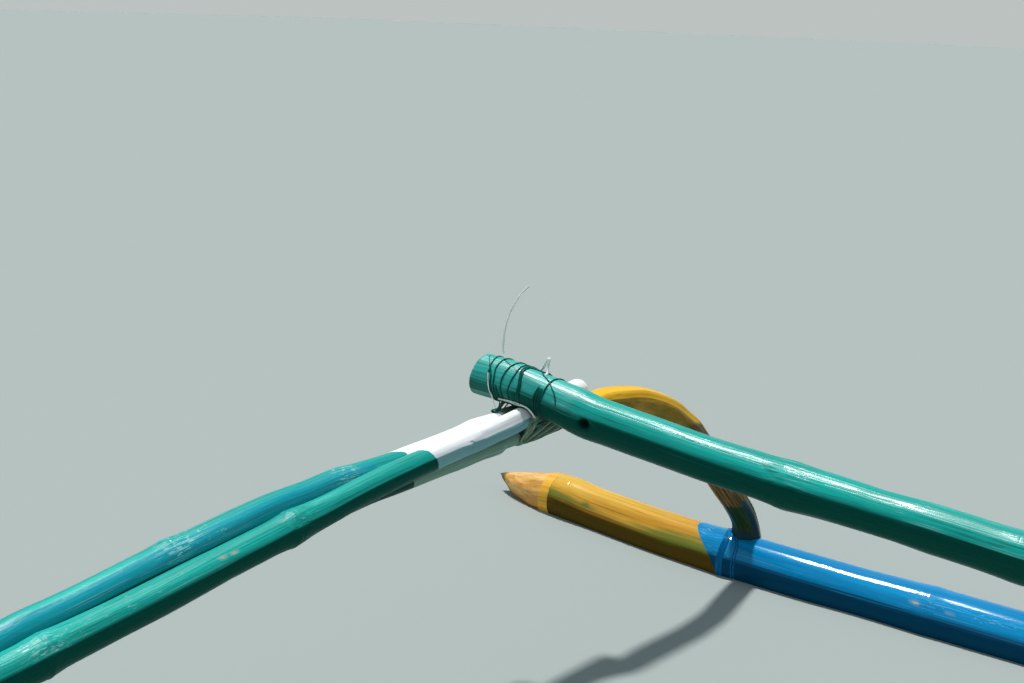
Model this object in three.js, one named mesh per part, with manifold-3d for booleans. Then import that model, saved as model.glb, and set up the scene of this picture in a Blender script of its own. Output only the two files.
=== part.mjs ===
// Side outrigger of an outrigger canoe: one float carried by three lashed bamboo booms.
// Millimetres. +X runs forward, +Y inboard towards the hull, +Z up.
// The origin is on the waterline, on the float's centreline, at the middle of its length.
import * as THREE from 'three';
import Module from 'manifold-3d';
import * as BufferGeometryUtils from 'three/addons/utils/BufferGeometryUtils.js';

const wasm = await Module();
wasm.setup();

// ---- driving dimensions -------------------------------------------------
const GAP = 0.4;               // left between pieces that touch
const STATION_X = 1700;        // bow and stern booms stand this far from the middle one
const FLOAT_R = 77;            // bamboo float, radius
const FLOAT_JOINT_X = 2280;    // where the bamboo stops and a carved plug begins
const SIDE_Y = 920;            // pole that ties the booms together, outboard of the hull
const SIDE_END_X = 1865;
const BOOM_FORE_Y = 628;       // outer ends of a boom's two poles, which lie side by side:
const BOOM_AFT_Y = 960;        // only the fore pole passes under the side pole, the aft pole stops at it
const BOOM_SPREAD = 21;        // the aft pole moves aside by this much towards its butt
const BOOM_BUTT_Y = 3900;      // cut ends, past the far gunwale
const STRUT_R = 41;            // bent wooden strut that holds the float down
const MID_DROP = 105;          // the middle boom lies lower, with the sheer of the hull
const CORD_R = 3;              // lashing cord
const LAY = 5;                 // cords stand this far off the poles, past the flats of their steps
const NODE_SWELL = 0.10;       // bamboo: a ring stands out by this part of the radius
const BOOM_SWELL = 0.05;       // less on the boom poles, which lie against each other

const COLOUR = { teal: 0x0d8a80, bluish: 0x0e8f9c, white: 0xd9dcdc, ochre: 0xc98a1e,
                 blue: 0x0a4fa8, wood: 0xb9782c, cord: 0xb9b39b, darkcord: 0x0c4f4b };

// ---- helpers --------------------------------------------------------------
const group = new THREE.Group();
const V = (x, y, z) => new THREE.Vector3(x, y, z);

function put(name, geometry, colour, roughness = 0.4) {
  const material = new THREE.MeshStandardMaterial({ color: colour, roughness, metalness: 0 });
  const mesh = new THREE.Mesh(geometry, material);
  mesh.name = name;
  group.add(mesh);
}

// value of a table of [t, a, b, ...] rows at t, by straight lines
function at(table, t) {
  const up = table[0][0] < table[table.length - 1][0];
  const rows = up ? table : [...table].reverse();
  if (t <= rows[0][0]) return rows[0].slice(1);
  for (let i = 1; i < rows.length; i++) {
    if (t <= rows[i][0]) {
      const k = (t - rows[i - 1][0]) / (rows[i][0] - rows[i - 1][0]);
      return rows[i].slice(1).map((v, j) => rows[i - 1][j + 1] * (1 - k) + v * k);
    }
  }
  return rows[rows.length - 1].slice(1);
}

// closed solid through rings: rows of {p: centre, r: radius}; up is a side direction
function loft(rows, sides, up = V(0, 0, 1), widen = null) {
  const pos = [], index = [];
  const n = rows.length;
  rows.forEach((row, i) => {
    const a = rows[Math.max(0, i - 1)].p, b = rows[Math.min(n - 1, i + 1)].p;
    const t = row.t ? row.t.clone() : b.clone().sub(a).normalize();
    const side = t.clone().cross(up).normalize();
    const top = side.clone().cross(t).normalize();
    for (let k = 0; k < sides; k++) {
      const w = (k + 0.5) / sides * Math.PI * 2;
      const ca = Math.cos(w) * row.r * (widen ? widen(i)[0] : 1);
      const sa = Math.sin(w) * row.r * (widen ? widen(i)[1] : 1);
      pos.push(row.p.x + side.x * ca + top.x * sa, row.p.y + side.y * ca + top.y * sa,
               row.p.z + side.z * ca + top.z * sa);
    }
  });
  for (let i = 0; i < n - 1; i++) {
    for (let k = 0; k < sides; k++) {
      const a = i * sides + k, b = i * sides + (k + 1) % sides, c = a + sides, d = b + sides;
      index.push(a, b, d, a, d, c);
    }
  }
  for (let k = 1; k < sides - 1; k++) {
    index.push(0, k + 1, k);
    const o = (n - 1) * sides;
    index.push(o, o + k, o + k + 1);
  }
  const g = new THREE.BufferGeometry();
  g.setAttribute('position', new THREE.Float32BufferAttribute(pos, 3));
  g.setIndex(index);
  let volume = 0;
  const v = (i) => V(pos[3 * i], pos[3 * i + 1], pos[3 * i + 2]);
  for (let i = 0; i < index.length; i += 3) volume += v(index[i]).dot(v(index[i + 1]).cross(v(index[i + 2])));
  if (volume < 0) for (let i = 0; i < index.length; i += 3) [index[i], index[i + 1]] = [index[i + 1], index[i]];
  g.setIndex(index);
  g.computeVertexNormals();
  return g;
}

// bamboo pole: its axis is given by point(t), its radius by radius(t); rings at nodes
function bamboo(t0, t1, nodes, point, radius, sides, step, extra, along, swell = NODE_SWELL) {
  const ts = new Set([t0, t1, ...extra]);
  const inside = (t) => t > Math.min(t0, t1) && t < Math.max(t0, t1);
  for (const n of nodes) for (const d of [-38, 0, 38]) if (inside(n + d)) ts.add(n + d);
  const lo = Math.min(t0, t1), hi = Math.max(t0, t1);
  for (let t = lo + step; t < hi - step / 2; t += step) {
    if (![...ts].some((s) => Math.abs(s - t) < step * 0.4)) ts.add(t);
  }
  const list = [...ts].sort((a, b) => a - b);
  return loft(list.map((t) => ({
    p: point(t),
    r: radius(t) * (nodes.includes(t) ? 1 + swell : 1),
    t: along,
  })), sides);
}

// round cord through points, closed at both ends
function cord(points, r, sides, stepLength) {
  const curve = new THREE.CatmullRomCurve3(points, false, 'centripetal');
  const count = Math.max(4, Math.round(curve.getLength() / stepLength));
  const pts = curve.getSpacedPoints(count);
  const frames = curve.computeFrenetFrames(count, false);
  const pos = [], index = [];
  pts.forEach((p, i) => {
    for (let k = 0; k < sides; k++) {
      const w = k / sides * Math.PI * 2, c = Math.cos(w) * r, s = Math.sin(w) * r;
      const N = frames.normals[i], B = frames.binormals[i];
      pos.push(p.x + N.x * c + B.x * s, p.y + N.y * c + B.y * s, p.z + N.z * c + B.z * s);
    }
  });
  for (let i = 0; i < count; i++) {
    for (let k = 0; k < sides; k++) {
      const a = i * sides + k, b = i * sides + (k + 1) % sides, c = a + sides, d = b + sides;
      index.push(a, b, d, a, d, c);
    }
  }
  for (let k = 1; k < sides - 1; k++) {
    index.push(0, k + 1, k);
    const o = count * sides;
    index.push(o, o + k, o + k + 1);
  }
  const g = new THREE.BufferGeometry();
  g.setAttribute('position', new THREE.Float32BufferAttribute(pos, 3));
  g.setIndex(index);
  g.computeVertexNormals();
  return g;
}

function toSolid(geometry) {
  let g = geometry.clone();
  g.deleteAttribute('normal');
  g.deleteAttribute('uv');
  g = BufferGeometryUtils.mergeVertices(g, 1e-4);
  return new wasm.Manifold(new wasm.Mesh({
    numProp: 3,
    vertProperties: new Float32Array(g.attributes.position.array),
    triVerts: new Uint32Array(g.index.array),
  }));
}

function fromSolid(solid) {
  const m = solid.getMesh();
  const g = new THREE.BufferGeometry();
  g.setAttribute('position', new THREE.BufferAttribute(new Float32Array(m.vertProperties), 3));
  g.setIndex(new THREE.BufferAttribute(new Uint32Array(m.triVerts), 1));
  g.computeVertexNormals();
  return g;
}

// ---- float ------------------------------------------------------------------
// |X|, centre Y, centre Z, radius: a natural culm wanders a little, and its ends close in conical plugs
const FLOAT_AXIS = [[0, 0, 30, 77], [600, 6, 29, 77], [800, 10.5, 29, 77.5], [1000, 14.5, 29, 78.6], [1200, 19, 29, 76], [1400, 29, 32, 77], [1600, 31, 34, 77],
                    [1800, 20, 31, 77], [1950, 5, 30, 76.5], [2100, -13, 31, 76], [2220, -25, 39, 75.5],
                    [2280, -30.6, 40.8, 74.6], [2315, -34, 37, 73.5], [2360, -37, 31, 69], [2415, -40, 31.6, 55],
                    [2450, -42, 34, 45], [2480, -43.5, 39, 33], [2500, -45, 44.5, 23.5], [2522, -46, 48.5, 12.5],
                    [2542, -47, 54, 3]];
const FLOAT_NODES = [-2220, -1620, -1010, -400, 210, 1010, 1620, 2220];
const floatPoint = (x) => V(x, ...at(FLOAT_AXIS, Math.abs(x)).slice(0, 2));
const floatRadius = (x) => at(FLOAT_AXIS, Math.abs(x))[2];
const floatPole = (radius) => bamboo(-FLOAT_JOINT_X + GAP, FLOAT_JOINT_X - GAP, FLOAT_NODES, floatPoint, radius, 16, 400,
  [-2100, -1950, -1800, -1400, -1200, -600, 600, 1200, 1400, 1800, 1950, 2100], V(1, 0, 0));
put('float_pole', floatPole(floatRadius), COLOUR.blue, 0.25);
const floatSeat = toSolid(floatPole((x) => floatRadius(x) + 2 * GAP)); // cuts the struts' saddles
for (const [name, sign] of [['float_bow_plug', 1], ['float_stern_plug', -1]]) {
  const rows = FLOAT_AXIS.filter((r) => r[0] >= FLOAT_JOINT_X)
    .map((r) => ({ p: V(sign * r[0], r[1], r[2]), r: r[3], t: V(1, 0, 0) }));
  put(name, loft(rows, 16), COLOUR.wood, 0.6);
}

// ---- side pole -----------------------------------------------------------------
// |X|, centre Z, radius
const SIDE_AXIS = [[0, 590, 49], [300, 592, 48.5], [530, 597.5, 50.3], [620, 603.5, 49.7], [700, 608.4, 50.2],
                   [780, 612.5, 47.8], [820, 613.9, 47.3], [860, 616.4, 48.2], [940, 620.3, 49.8], [1020, 622.8, 51.8],
                   [1060, 625.5, 50.6], [1100, 628.5, 50], [1200, 634, 49.8], [1350, 648, 50.8], [1450, 657.3, 51.2],
                   [1510, 664.5, 50.6], [1570, 674, 51], [1620, 682, 51], [1700, 695, 50.5], [1770, 704, 51.5], [1865, 708, 51]];
const SIDE_NODES = [-1570, -1022, -520, 10, 530, 1022, 1570];
const sidePoint = (x) => V(x, SIDE_Y, at(SIDE_AXIS, Math.abs(x))[0]);
const sideRadius = (x) => at(SIDE_AXIS, Math.abs(x))[1];
put('side_pole', bamboo(-SIDE_END_X, SIDE_END_X, SIDE_NODES, sidePoint, sideRadius, 14, 400,
  [-1770, -1700, -1450, -1350, -1200, 1200, 1350, 1450, 1700, 1770], V(1, 0, 0)), COLOUR.teal, 0.25);

// ---- booms, struts and lashings, once per station ---------------------------------
// Y; the fore pole's X from the station, height and radius; the aft pole's height and radius; at the bow boom
const BOOM_AXIS = [[628, 59, 637, 28.5, 638, 26.5], [700, 58.6, 629, 29.2, 638, 26.5], [800, 57.8, 616.5, 30.2, 638, 26.5],
                   [920, 58, 610, 30.5, 638, 26.5], [1018, 58, 611.5, 30.8, 628.5, 26.6], [1060, 58.1, 610.8, 31, 625.5, 26.7],
                   [1120, 58, 605.4, 31.1, 621.5, 26.8], [1200, 58.1, 600.9, 31, 616.2, 27.2],
                   [1280, 59, 598.2, 30.6, 610.9, 27.9], [1360, 60.4, 594.5, 30.5, 605.5, 28.8],
                   [1440, 62.6, 594.3, 31.2, 597.8, 29.8], [1520, 63.6, 595.2, 31.9, 588.5, 29.8],
                   [1600, 65, 589, 32.8, 577.2, 31], [1690, 67.2, 584.5, 33.8, 566.5, 33.4],
                   [1780, 65.5, 577, 34.2, 554.8, 33.4], [1860, 65.3, 568, 34.3, 545, 33.2],
                   [1940, 67, 558.5, 34, 534.2, 34.6], [2020, 64.8, 550.5, 33.4, 523.5, 35.2],
                   [2100, 64, 540, 32.6, 514.8, 35], [2180, 64.6, 529.5, 32.4, 506.5, 36],
                   [2260, 65.4, 521, 32.8, 499, 36.6], [2320, 65.5, 511, 33.2, 492, 36.5],
                   [2450, 66.7, 493, 34.3, 479.5, 36.2], [2700, 67.7, 465, 35.8, 457, 36],
                   [2880, 69.7, 447, 36, 447, 36], [3900, 81, 447, 36, 447, 36]];
const BOOM_NODES = { fore: [1060, 1500, 1945, 2420, 2840, 3330], aft: [1130, 1700, 2265, 2720, 3170, 3640] };
const foreRadius = (y) => at(BOOM_AXIS, y)[2];
const aftRadius = (y) => at(BOOM_AXIS, y)[4];
// strut centreline at the bow boom: X from the station, Y, Z, radius
const STRUT_AXIS = [[32, 1524, 549.5, 12.5], [32, 1500, 553.3, 16.5], [29, 1433, 559.1, 16], [25, 1371, 561.8, 16],
                    [21, 1306, 566.9, 17], [19, 1240, 569.9, 17], [17.5, 1171, 572.6, 18], [17, 1100, 576.6, 18.5],
                    [17.5, 1045, 577.2, 19.5], [17.5, 1030, 577.4, 19.3], [17.5, 1012, 582.4, 17.5], [16.5, 970, 583.6, 17.5],
                    [16, 920, 582.5, 18], [14, 870, 580.5, 19.5], [13, 830, 583, 20], [8, 760, 590, 25],
                    [-1, 700, 600, 32], [-5, 640, 605, 39], [-11, 559, 596, STRUT_R], [-20, 490, 584, STRUT_R],
                    [-32, 425, 563, STRUT_R], [-43, 375, 539, STRUT_R], [-51, 331, 509, 40], [-59, 293, 479, 39.5],
                    [-68, 256, 438, 39], [-78, 181, 357, 38.5], [-89, 106, 272, 38], [-102, 54, 210, 37],
                    [-114, 24, 161, 37], [-120, 15, 122, 41], [-122, 14, 90, 44]];
const FOOT_X = -120;

for (const [station, xs, sign, drop] of [['bow', STATION_X, 1, 0], ['mid', 0, 1, MID_DROP], ['stern', -STATION_X, -1, 0]]) {
  const S = (dx, y, z) => V(xs + sign * dx, y, z);
  const foreX = (y) => at(BOOM_AXIS, y)[0];
  const aftX = (y) => -BOOM_SPREAD * Math.max(0, y - 2000) / (BOOM_BUTT_Y - 2000);
  // the drop of the middle boom is carried along its whole length
  const forePoint = (y) => S(foreX(y), y, at(BOOM_AXIS, y)[1] - drop);
  const aftPoint = (y) => S(aftX(y), y, at(BOOM_AXIS, y)[3] - drop);
  const bends = BOOM_AXIS.map((r) => r[0]).filter((y) => y > 820 && y < BOOM_BUTT_Y - 40);
  put(`${station}_boom_fore_pole`, bamboo(BOOM_FORE_Y, BOOM_BUTT_Y, BOOM_NODES.fore, forePoint, foreRadius, 12, 400,
    bends.filter((y) => BOOM_NODES.fore.every((n) => Math.abs(n - y) > 45)), V(0, 1, 0), BOOM_SWELL), COLOUR.bluish, 0.3);
  put(`${station}_boom_aft_pole`, bamboo(BOOM_AFT_Y, BOOM_BUTT_Y - 30, BOOM_NODES.aft, aftPoint, aftRadius, 12, 400,
    bends.filter((y) => y > BOOM_AFT_Y && BOOM_NODES.aft.every((n) => Math.abs(n - y) > 45)), V(0, 1, 0), BOOM_SWELL), COLOUR.teal, 0.3);

  // strut: its tail lies in the groove under the two poles, its foot straddles the float
  const squash = (z) => {
    const k = Math.min(1, Math.max(0, (z - 110) / (560 - 110)));
    return z - drop * k;
  };
  const strutRows = STRUT_AXIS.map(([dx, y, z, r]) => ({ p: S(dx, y, squash(z)), r }));
  const strut = toSolid(loft(strutRows, 12, V(1, 0, 0)));
  const [floatY, floatZ] = at(FLOAT_AXIS, Math.abs(xs + sign * FOOT_X));
  const below = toSolid(new THREE.BoxGeometry(600, 600, 200).translate(xs + sign * FOOT_X, floatY, floatZ + 30 - 100));
  put(`${station}_strut`, fromSolid(strut.subtract(floatSeat).subtract(below)), COLOUR.ochre, 0.35);

  // square lashing of boom, strut tail and side pole: arcs over the side pole, passes under the boom
  const zb = at(BOOM_AXIS, SIDE_Y)[1] - drop - 8, a = 71, b = 48;
  const lash = [];
  for (let k = 0; k < 2; k++) {
    const xf = 100 + 7 * k, xa = -44 - 9 * k, yi = SIDE_Y + 45 + 9 * k, yo = SIDE_Y - 45 - 9 * k;
    const sideArc = (dx, from, to) => {
      const p = sidePoint(xs + sign * dx), r = sideRadius(xs + sign * dx) + CORD_R + LAY;
      for (let i = 0; i <= 6; i++) {
        const w = (from + (to - from) * i / 6) * Math.PI / 180;
        lash.push(S(dx, SIDE_Y + r * Math.cos(w), p.z + r * Math.sin(w)));
      }
    };
    const boomPass = (y, from, to) => {
      for (let i = 0; i <= 5; i++) {
        const w = (from + (to - from) * i / 5) * Math.PI / 180;
        lash.push(S(30 + a * Math.cos(w), y, zb + b * Math.sin(w)));
      }
    };
    sideArc(xf, 5, 175);
    boomPass(yo, -10, -170);
    sideArc(xa, 175, 5);
    boomPass(yi, 190, 350);
  }
  put(`${station}_crossing_lashing`, cord(lash, CORD_R, 5, 32), COLOUR.cord, 0.8);

  // spaced turns round the side pole near its end, painted over with it
  const turns = [];
  for (let i = 0; i <= 3 * 12; i++) {
    const dx = 114 + 16 * i / 36, w = (-90 + i * 30) * Math.PI / 180;
    const p = sidePoint(xs + sign * dx), r = sideRadius(xs + sign * dx) + 2 + LAY;
    turns.push(S(dx, SIDE_Y + r * Math.cos(w), p.z + r * Math.sin(w)));
  }
  put(`${station}_side_pole_turns`, cord(turns, 2, 5, 30), COLOUR.darkcord, 0.5);

  // turns round the float in front of the strut's foot
  const foot = [];
  for (let i = 0; i <= 4 * 12; i++) {
    const dx = -50 - 6 * i / 12;
    const w = (-90 + i * 30) * Math.PI / 180;
    const swell = Math.max(0, 1 - Math.abs(Math.abs(xs + sign * dx) - 1620) / 38) * 9;
    const r = FLOAT_R + CORD_R + LAY + swell;
    foot.push(S(dx, floatY + r * Math.cos(w), floatZ + r * Math.sin(w)));
  }
  put(`${station}_foot_lashing`, cord(foot, CORD_R - 0.5, 5, 40), COLOUR.blue, 0.5);

  // binding of the two boom poles where they meet the hull
  const bind = [];
  for (let i = 0; i <= 3 * 12; i++) {
    const y = 2540 + 8 * i / 12, w = i * 30 * Math.PI / 180;
    const r = aftRadius(y), cz = (at(BOOM_AXIS, y)[1] + at(BOOM_AXIS, y)[3]) / 2 - drop, cx = (foreX(y) + aftX(y)) / 2;
    bind.push(S(cx + (r * 2 + 14) * Math.cos(w), y, cz + (r + 27) * Math.sin(w)));
  }
  put(`${station}_boom_binding`, cord(bind, CORD_R, 5, 34), COLOUR.cord, 0.8);
}

// ---- stiff free end of the bow lashing, standing up from the side pole ---------------
const tailPoints = [[93, 766], [95, 788], [92, 822], [83, 858], [66, 893], [45, 922], [24, 942]]; // X from the bow boom, Z
put('bow_lashing_tail', cord(tailPoints.map(([dx, z]) => V(STATION_X + dx, SIDE_Y, z + 2)), 2.5, 8, 12), COLOUR.cord, 0.6);

export default group;
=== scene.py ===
"""Side outrigger of an outrigger canoe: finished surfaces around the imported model. Metres.
+X runs forward, +Y inboard towards the hull, +Z up; the floor is the waterline."""
import math

import bpy
import numpy as np
from mathutils import Matrix


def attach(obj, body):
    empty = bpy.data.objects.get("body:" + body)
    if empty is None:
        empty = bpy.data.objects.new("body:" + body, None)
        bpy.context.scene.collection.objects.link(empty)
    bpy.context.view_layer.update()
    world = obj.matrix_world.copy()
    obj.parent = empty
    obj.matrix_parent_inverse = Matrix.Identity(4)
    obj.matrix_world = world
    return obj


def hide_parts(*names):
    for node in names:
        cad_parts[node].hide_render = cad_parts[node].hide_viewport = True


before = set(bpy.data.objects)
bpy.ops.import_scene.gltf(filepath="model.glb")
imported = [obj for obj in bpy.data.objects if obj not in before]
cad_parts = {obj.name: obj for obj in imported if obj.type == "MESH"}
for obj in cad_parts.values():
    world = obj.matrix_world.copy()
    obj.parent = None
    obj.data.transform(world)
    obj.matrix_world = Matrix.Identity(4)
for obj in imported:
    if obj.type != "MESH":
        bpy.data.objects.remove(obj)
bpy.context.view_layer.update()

TAU = 2 * math.pi


# ---- number helpers -----------------------------------------------------------
def smooth_table(rows, t):
    """Rows of [t, a, b, ...]: smooth curve through them (no overshoot), a, b, ... at each t."""
    rows = np.array(sorted(rows, key=lambda r: r[0]), float)
    x, y = rows[:, 0], rows[:, 1:]
    h = np.diff(x)[:, None]
    d = np.diff(y, axis=0) / h
    m = np.zeros_like(y)
    m[0], m[-1] = d[0], d[-1]
    w1, w2 = 2 * h[1:] + h[:-1], h[1:] + 2 * h[:-1]
    same = d[1:] * d[:-1] > 0
    with np.errstate(divide="ignore", invalid="ignore"):
        inner = (w1 + w2) / (w1 / d[:-1] + w2 / d[1:])
    m[1:-1] = np.where(same, inner, 0)
    t = np.clip(np.atleast_1d(np.asarray(t, float)), x[0], x[-1])
    i = np.clip(np.searchsorted(x, t, "right") - 1, 0, len(x) - 2)
    hh = (x[i + 1] - x[i])[:, None]
    s = ((t - x[i]) / hh[:, 0])[:, None]
    return ((2 * s**3 - 3 * s**2 + 1) * y[i] + (s**3 - 2 * s**2 + s) * hh * m[i]
            + (-2 * s**3 + 3 * s**2) * y[i + 1] + (s**3 - s**2) * hh * m[i + 1])


def mirrored(rows):
    return [[-r[0], *r[1:]] for r in rows if r[0] > 0] + list(rows)


def lattice(i, j, k, seed):
    with np.errstate(over="ignore"):
        h = (i.astype(np.int64) * 374761393 + j.astype(np.int64) * 668265263 + k.astype(np.int64) * 2147483629
             + seed * 974711 + 12345) & 0xFFFFFFFF
        h = ((h ^ (h >> 13)) * 1274126177) & 0xFFFFFFFF
        h = ((h ^ (h >> 15)) * 668265263) & 0xFFFFFFFF
        h = h ^ (h >> 16)
    return h.astype(float) / 4294967295.0 * 2 - 1


def vnoise(x, y=0.0, z=0.0, seed=0):
    """Smooth value noise, from -1 to 1."""
    x, y, z = np.broadcast_arrays(np.asarray(x, float), np.asarray(y, float), np.asarray(z, float))
    i, j, k = np.floor(x), np.floor(y), np.floor(z)
    u, v, w = x - i, y - j, z - k
    u, v, w = (a * a * (3 - 2 * a) for a in (u, v, w))
    total = 0
    for a in (0, 1):
        for b in (0, 1):
            for c in (0, 1):
                part = (u if a else 1 - u) * (v if b else 1 - v) * (w if c else 1 - w)
                total = total + part * lattice(i + a, j + b, k + c, seed)
    return total


def step01(a, b, x):
    s = np.clip((np.asarray(x, float) - a) / (b - a), 0, 1)
    return s * s * (3 - 2 * s)


def unit(v):
    return v / np.maximum(np.linalg.norm(v, axis=-1, keepdims=True), 1e-12)


# ---- mesh helpers ---------------------------------------------------------------
def make_mesh(name, verts, quads, tris, attributes, material, sharp=None):
    verts = np.asarray(verts, float)
    tri_a = np.concatenate([quads[:, [0, 1, 2]], quads[:, [0, 2, 3]], tris]) if len(tris) else np.concatenate(
        [quads[:, [0, 1, 2]], quads[:, [0, 2, 3]]])
    p = verts[tri_a]
    volume = np.einsum("ij,ij->i", p[:, 0], np.cross(p[:, 1], p[:, 2])).sum()
    if volume < 0:
        quads = quads[:, ::-1]
        tris = tris[:, ::-1] if len(tris) else tris
    mesh = bpy.data.meshes.new(name)
    mesh.from_pydata(verts.tolist(), [], quads.tolist() + (tris.tolist() if len(tris) else []))
    mesh.polygons.foreach_set("use_smooth", np.ones(len(mesh.polygons), bool))
    for key, values in attributes.items():
        values = np.asarray(values, np.float32)
        kind = "FLOAT_VECTOR" if values.ndim == 2 else "FLOAT"
        a = mesh.attributes.new(key, kind, "POINT")
        a.data.foreach_set("vector" if kind == "FLOAT_VECTOR" else "value", values.ravel())
    mesh.update()
    if sharp:
        mesh.set_sharp_from_angle(angle=math.radians(sharp))
    mesh.materials.append(material)
    obj = bpy.data.objects.new(name, mesh)
    bpy.context.scene.collection.objects.link(obj)
    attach(obj, "root")
    return obj


def ring_solid(P, N, B, R, extra, closed=False):
    """Closed surface through rings: centres P, side directions N and B, radii R[ring, side].
    extra: arrays [ring, side] or [ring, side, 3], carried to the vertices."""
    n, m = R.shape
    th = np.arange(m) / m * TAU
    verts = P[:, None] + (N[:, None] * np.cos(th)[None, :, None] + B[:, None] * np.sin(th)[None, :, None]) * R[..., None]
    verts = verts.reshape(-1, 3)
    k = np.arange(m)
    rows = np.arange(n if closed else n - 1)
    a = rows[:, None] * m + k[None]
    b = rows[:, None] * m + (k[None] + 1) % m
    c = ((rows[:, None] + 1) % n) * m + (k[None] + 1) % m
    d = ((rows[:, None] + 1) % n) * m + k[None]
    quads = np.stack([a, b, c, d], -1).reshape(-1, 4)
    extra = {key: v.reshape(n * m, *v.shape[2:]) for key, v in extra.items()}
    tris = np.zeros((0, 3), int)
    if not closed:
        verts = np.concatenate([verts, P[:1], P[-1:]])
        c0, c1 = n * m, n * m + 1
        nxt = (k + 1) % m
        tris = np.concatenate([np.stack([np.full(m, c0), nxt, k], -1),
                               np.stack([np.full(m, c1), (n - 1) * m + k, (n - 1) * m + nxt], -1)])
        extra = {key: np.concatenate([v, v[:m].mean(0, keepdims=True), v[-m:].mean(0, keepdims=True)])
                 for key, v in extra.items()}
    return verts, quads, tris, extra


def joined(parts):
    """Several (verts, quads, tris, extra) as one."""
    V, Q, T, E, base = [], [], [], {}, 0
    for verts, quads, tris, extra in parts:
        V.append(verts); Q.append(quads + base); T.append(tris + base)
        for key, v in extra.items():
            E.setdefault(key, []).append(v)
        base += len(verts)
    return np.concatenate(V), np.concatenate(Q), np.concatenate(T), {k: np.concatenate(v) for k, v in E.items()}


# ---- sizes, the same tables as the model's, in metres ------------------------------
STATION_X = 1.700
FLOAT_JOINT_X = 2.280
SIDE_Y = 0.920
SIDE_END_X = 1.865
PRESS = 0.001       # the two poles of a boom are tied this much nearer than the model's
BOOM_SPREAD = 0.021
BOOM_BUTT_Y = 3.900
MID_DROP = 0.105
FOOT_X = -0.120
TAIL_NECK = 0.0038  # the strut's tail is thinner where the cord holds it
MM = 0.001
# |X|, centre Y, centre Z, radius
FLOAT_AXIS = [[0, 0, 30, 77], [600, 6, 29, 77], [800, 10.5, 29, 77.5], [1000, 14.5, 29, 78.6], [1200, 19, 29, 76], [1400, 29, 32, 77], [1600, 31, 34, 77],
              [1800, 20, 31, 77], [1950, 5, 30, 76.5], [2100, -13, 31, 76], [2220, -25, 39, 75.5],
              [2280, -30.6, 40.8, 74.6], [2315, -34, 37, 73.5], [2360, -37, 31, 69], [2415, -40, 31.6, 55],
              [2450, -42, 34, 45], [2480, -43.5, 39, 33], [2500, -45, 44.5, 23.5], [2522, -46, 48.5, 12.5],
              [2542, -47, 54, 3]]
FLOAT_NODES = [-2220, -1620, -1010, -400, 210, 1010, 1620, 2220]
# |X|, centre Z, radius
SIDE_AXIS = [[0, 590, 49], [300, 592, 48.5], [530, 597.5, 50.3], [620, 603.5, 49.7], [700, 608.4, 50.2],
             [780, 612.5, 47.8], [820, 613.9, 47.3], [860, 616.4, 48.2], [940, 620.3, 49.8], [1020, 622.8, 51.8],
             [1060, 625.5, 50.6], [1100, 628.5, 50], [1200, 634, 49.8], [1350, 648, 50.8], [1450, 657.3, 51.2],
             [1510, 664.5, 50.6], [1570, 674, 51], [1620, 682, 51], [1700, 695, 50.5], [1770, 704, 51.5], [1865, 708, 51]]
SIDE_NODES = [-1570, -1022, -520, 10, 530, 1022, 1570]
# Y; the fore pole's X from the station, height and radius; the aft pole's height and radius
BOOM_AXIS = [[628, 59, 637, 28.5, 638, 26.5], [700, 58.6, 629, 29.2, 638, 26.5], [800, 57.8, 616.5, 30.2, 638, 26.5],
             [920, 58, 610, 30.5, 638, 26.5], [1018, 58, 611.5, 30.8, 628.5, 26.6], [1060, 58.1, 610.8, 31, 625.5, 26.7],
             [1120, 58, 605.4, 31.1, 621.5, 26.8], [1200, 58.1, 600.9, 31, 616.2, 27.2],
             [1280, 59, 598.2, 30.6, 610.9, 27.9], [1360, 60.4, 594.5, 30.5, 605.5, 28.8],
             [1440, 62.6, 594.3, 31.2, 597.8, 29.8], [1520, 63.6, 595.2, 31.9, 588.5, 29.8],
             [1600, 65, 589, 32.8, 577.2, 31], [1690, 67.2, 584.5, 33.8, 566.5, 33.4],
             [1780, 65.5, 577, 34.2, 554.8, 33.4], [1860, 65.3, 568, 34.3, 545, 33.2],
             [1940, 67, 558.5, 34, 534.2, 34.6], [2020, 64.8, 550.5, 33.4, 523.5, 35.2],
             [2100, 64, 540, 32.6, 514.8, 35], [2180, 64.6, 529.5, 32.4, 506.5, 36],
             [2260, 65.4, 521, 32.8, 499, 36.6], [2320, 65.5, 511, 33.2, 492, 36.5],
             [2450, 66.7, 493, 34.3, 479.5, 36.2], [2700, 67.7, 465, 35.8, 457, 36],
             [2880, 69.7, 447, 36, 447, 36], [3900, 81, 447, 36, 447, 36]]
BOOM_NODES = {"fore": [1060, 1500, 1945, 2420, 2840, 3330], "aft": [1130, 1700, 2265, 2720, 3170, 3640]}
# X from the station, Y, Z, radius
STRUT_AXIS = [[32, 1524, 549.5, 12.5], [32, 1500, 553.3, 16.5], [29, 1433, 559.1, 16], [25, 1371, 561.8, 16],
              [21, 1306, 566.9, 17], [19, 1240, 569.9, 17], [17.5, 1171, 572.6, 18], [17, 1100, 576.6, 18.5],
              [17.5, 1045, 577.2, 19.5], [17.5, 1030, 577.4, 19.3], [17.5, 1012, 582.4, 17.5], [16.5, 970, 583.6, 17.5],
              [16, 920, 582.5, 18], [14, 870, 580.5, 19.5], [13, 830, 583, 20], [8, 760, 590, 25],
              [-1, 700, 600, 32], [-5, 640, 605, 39], [-11, 559, 596, 41], [-20, 490, 584, 41],
              [-32, 425, 563, 41], [-43, 375, 539, 41], [-51, 331, 509, 40], [-59, 293, 479, 39.5],
              [-68, 256, 438, 39], [-78, 181, 357, 38.5], [-89, 106, 272, 38], [-102, 54, 210, 37],
              [-114, 24, 161, 37], [-120, 15, 122, 41], [-122, 14, 90, 44]]


def metres(rows):
    return [[v * MM for v in r] for r in rows]


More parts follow.
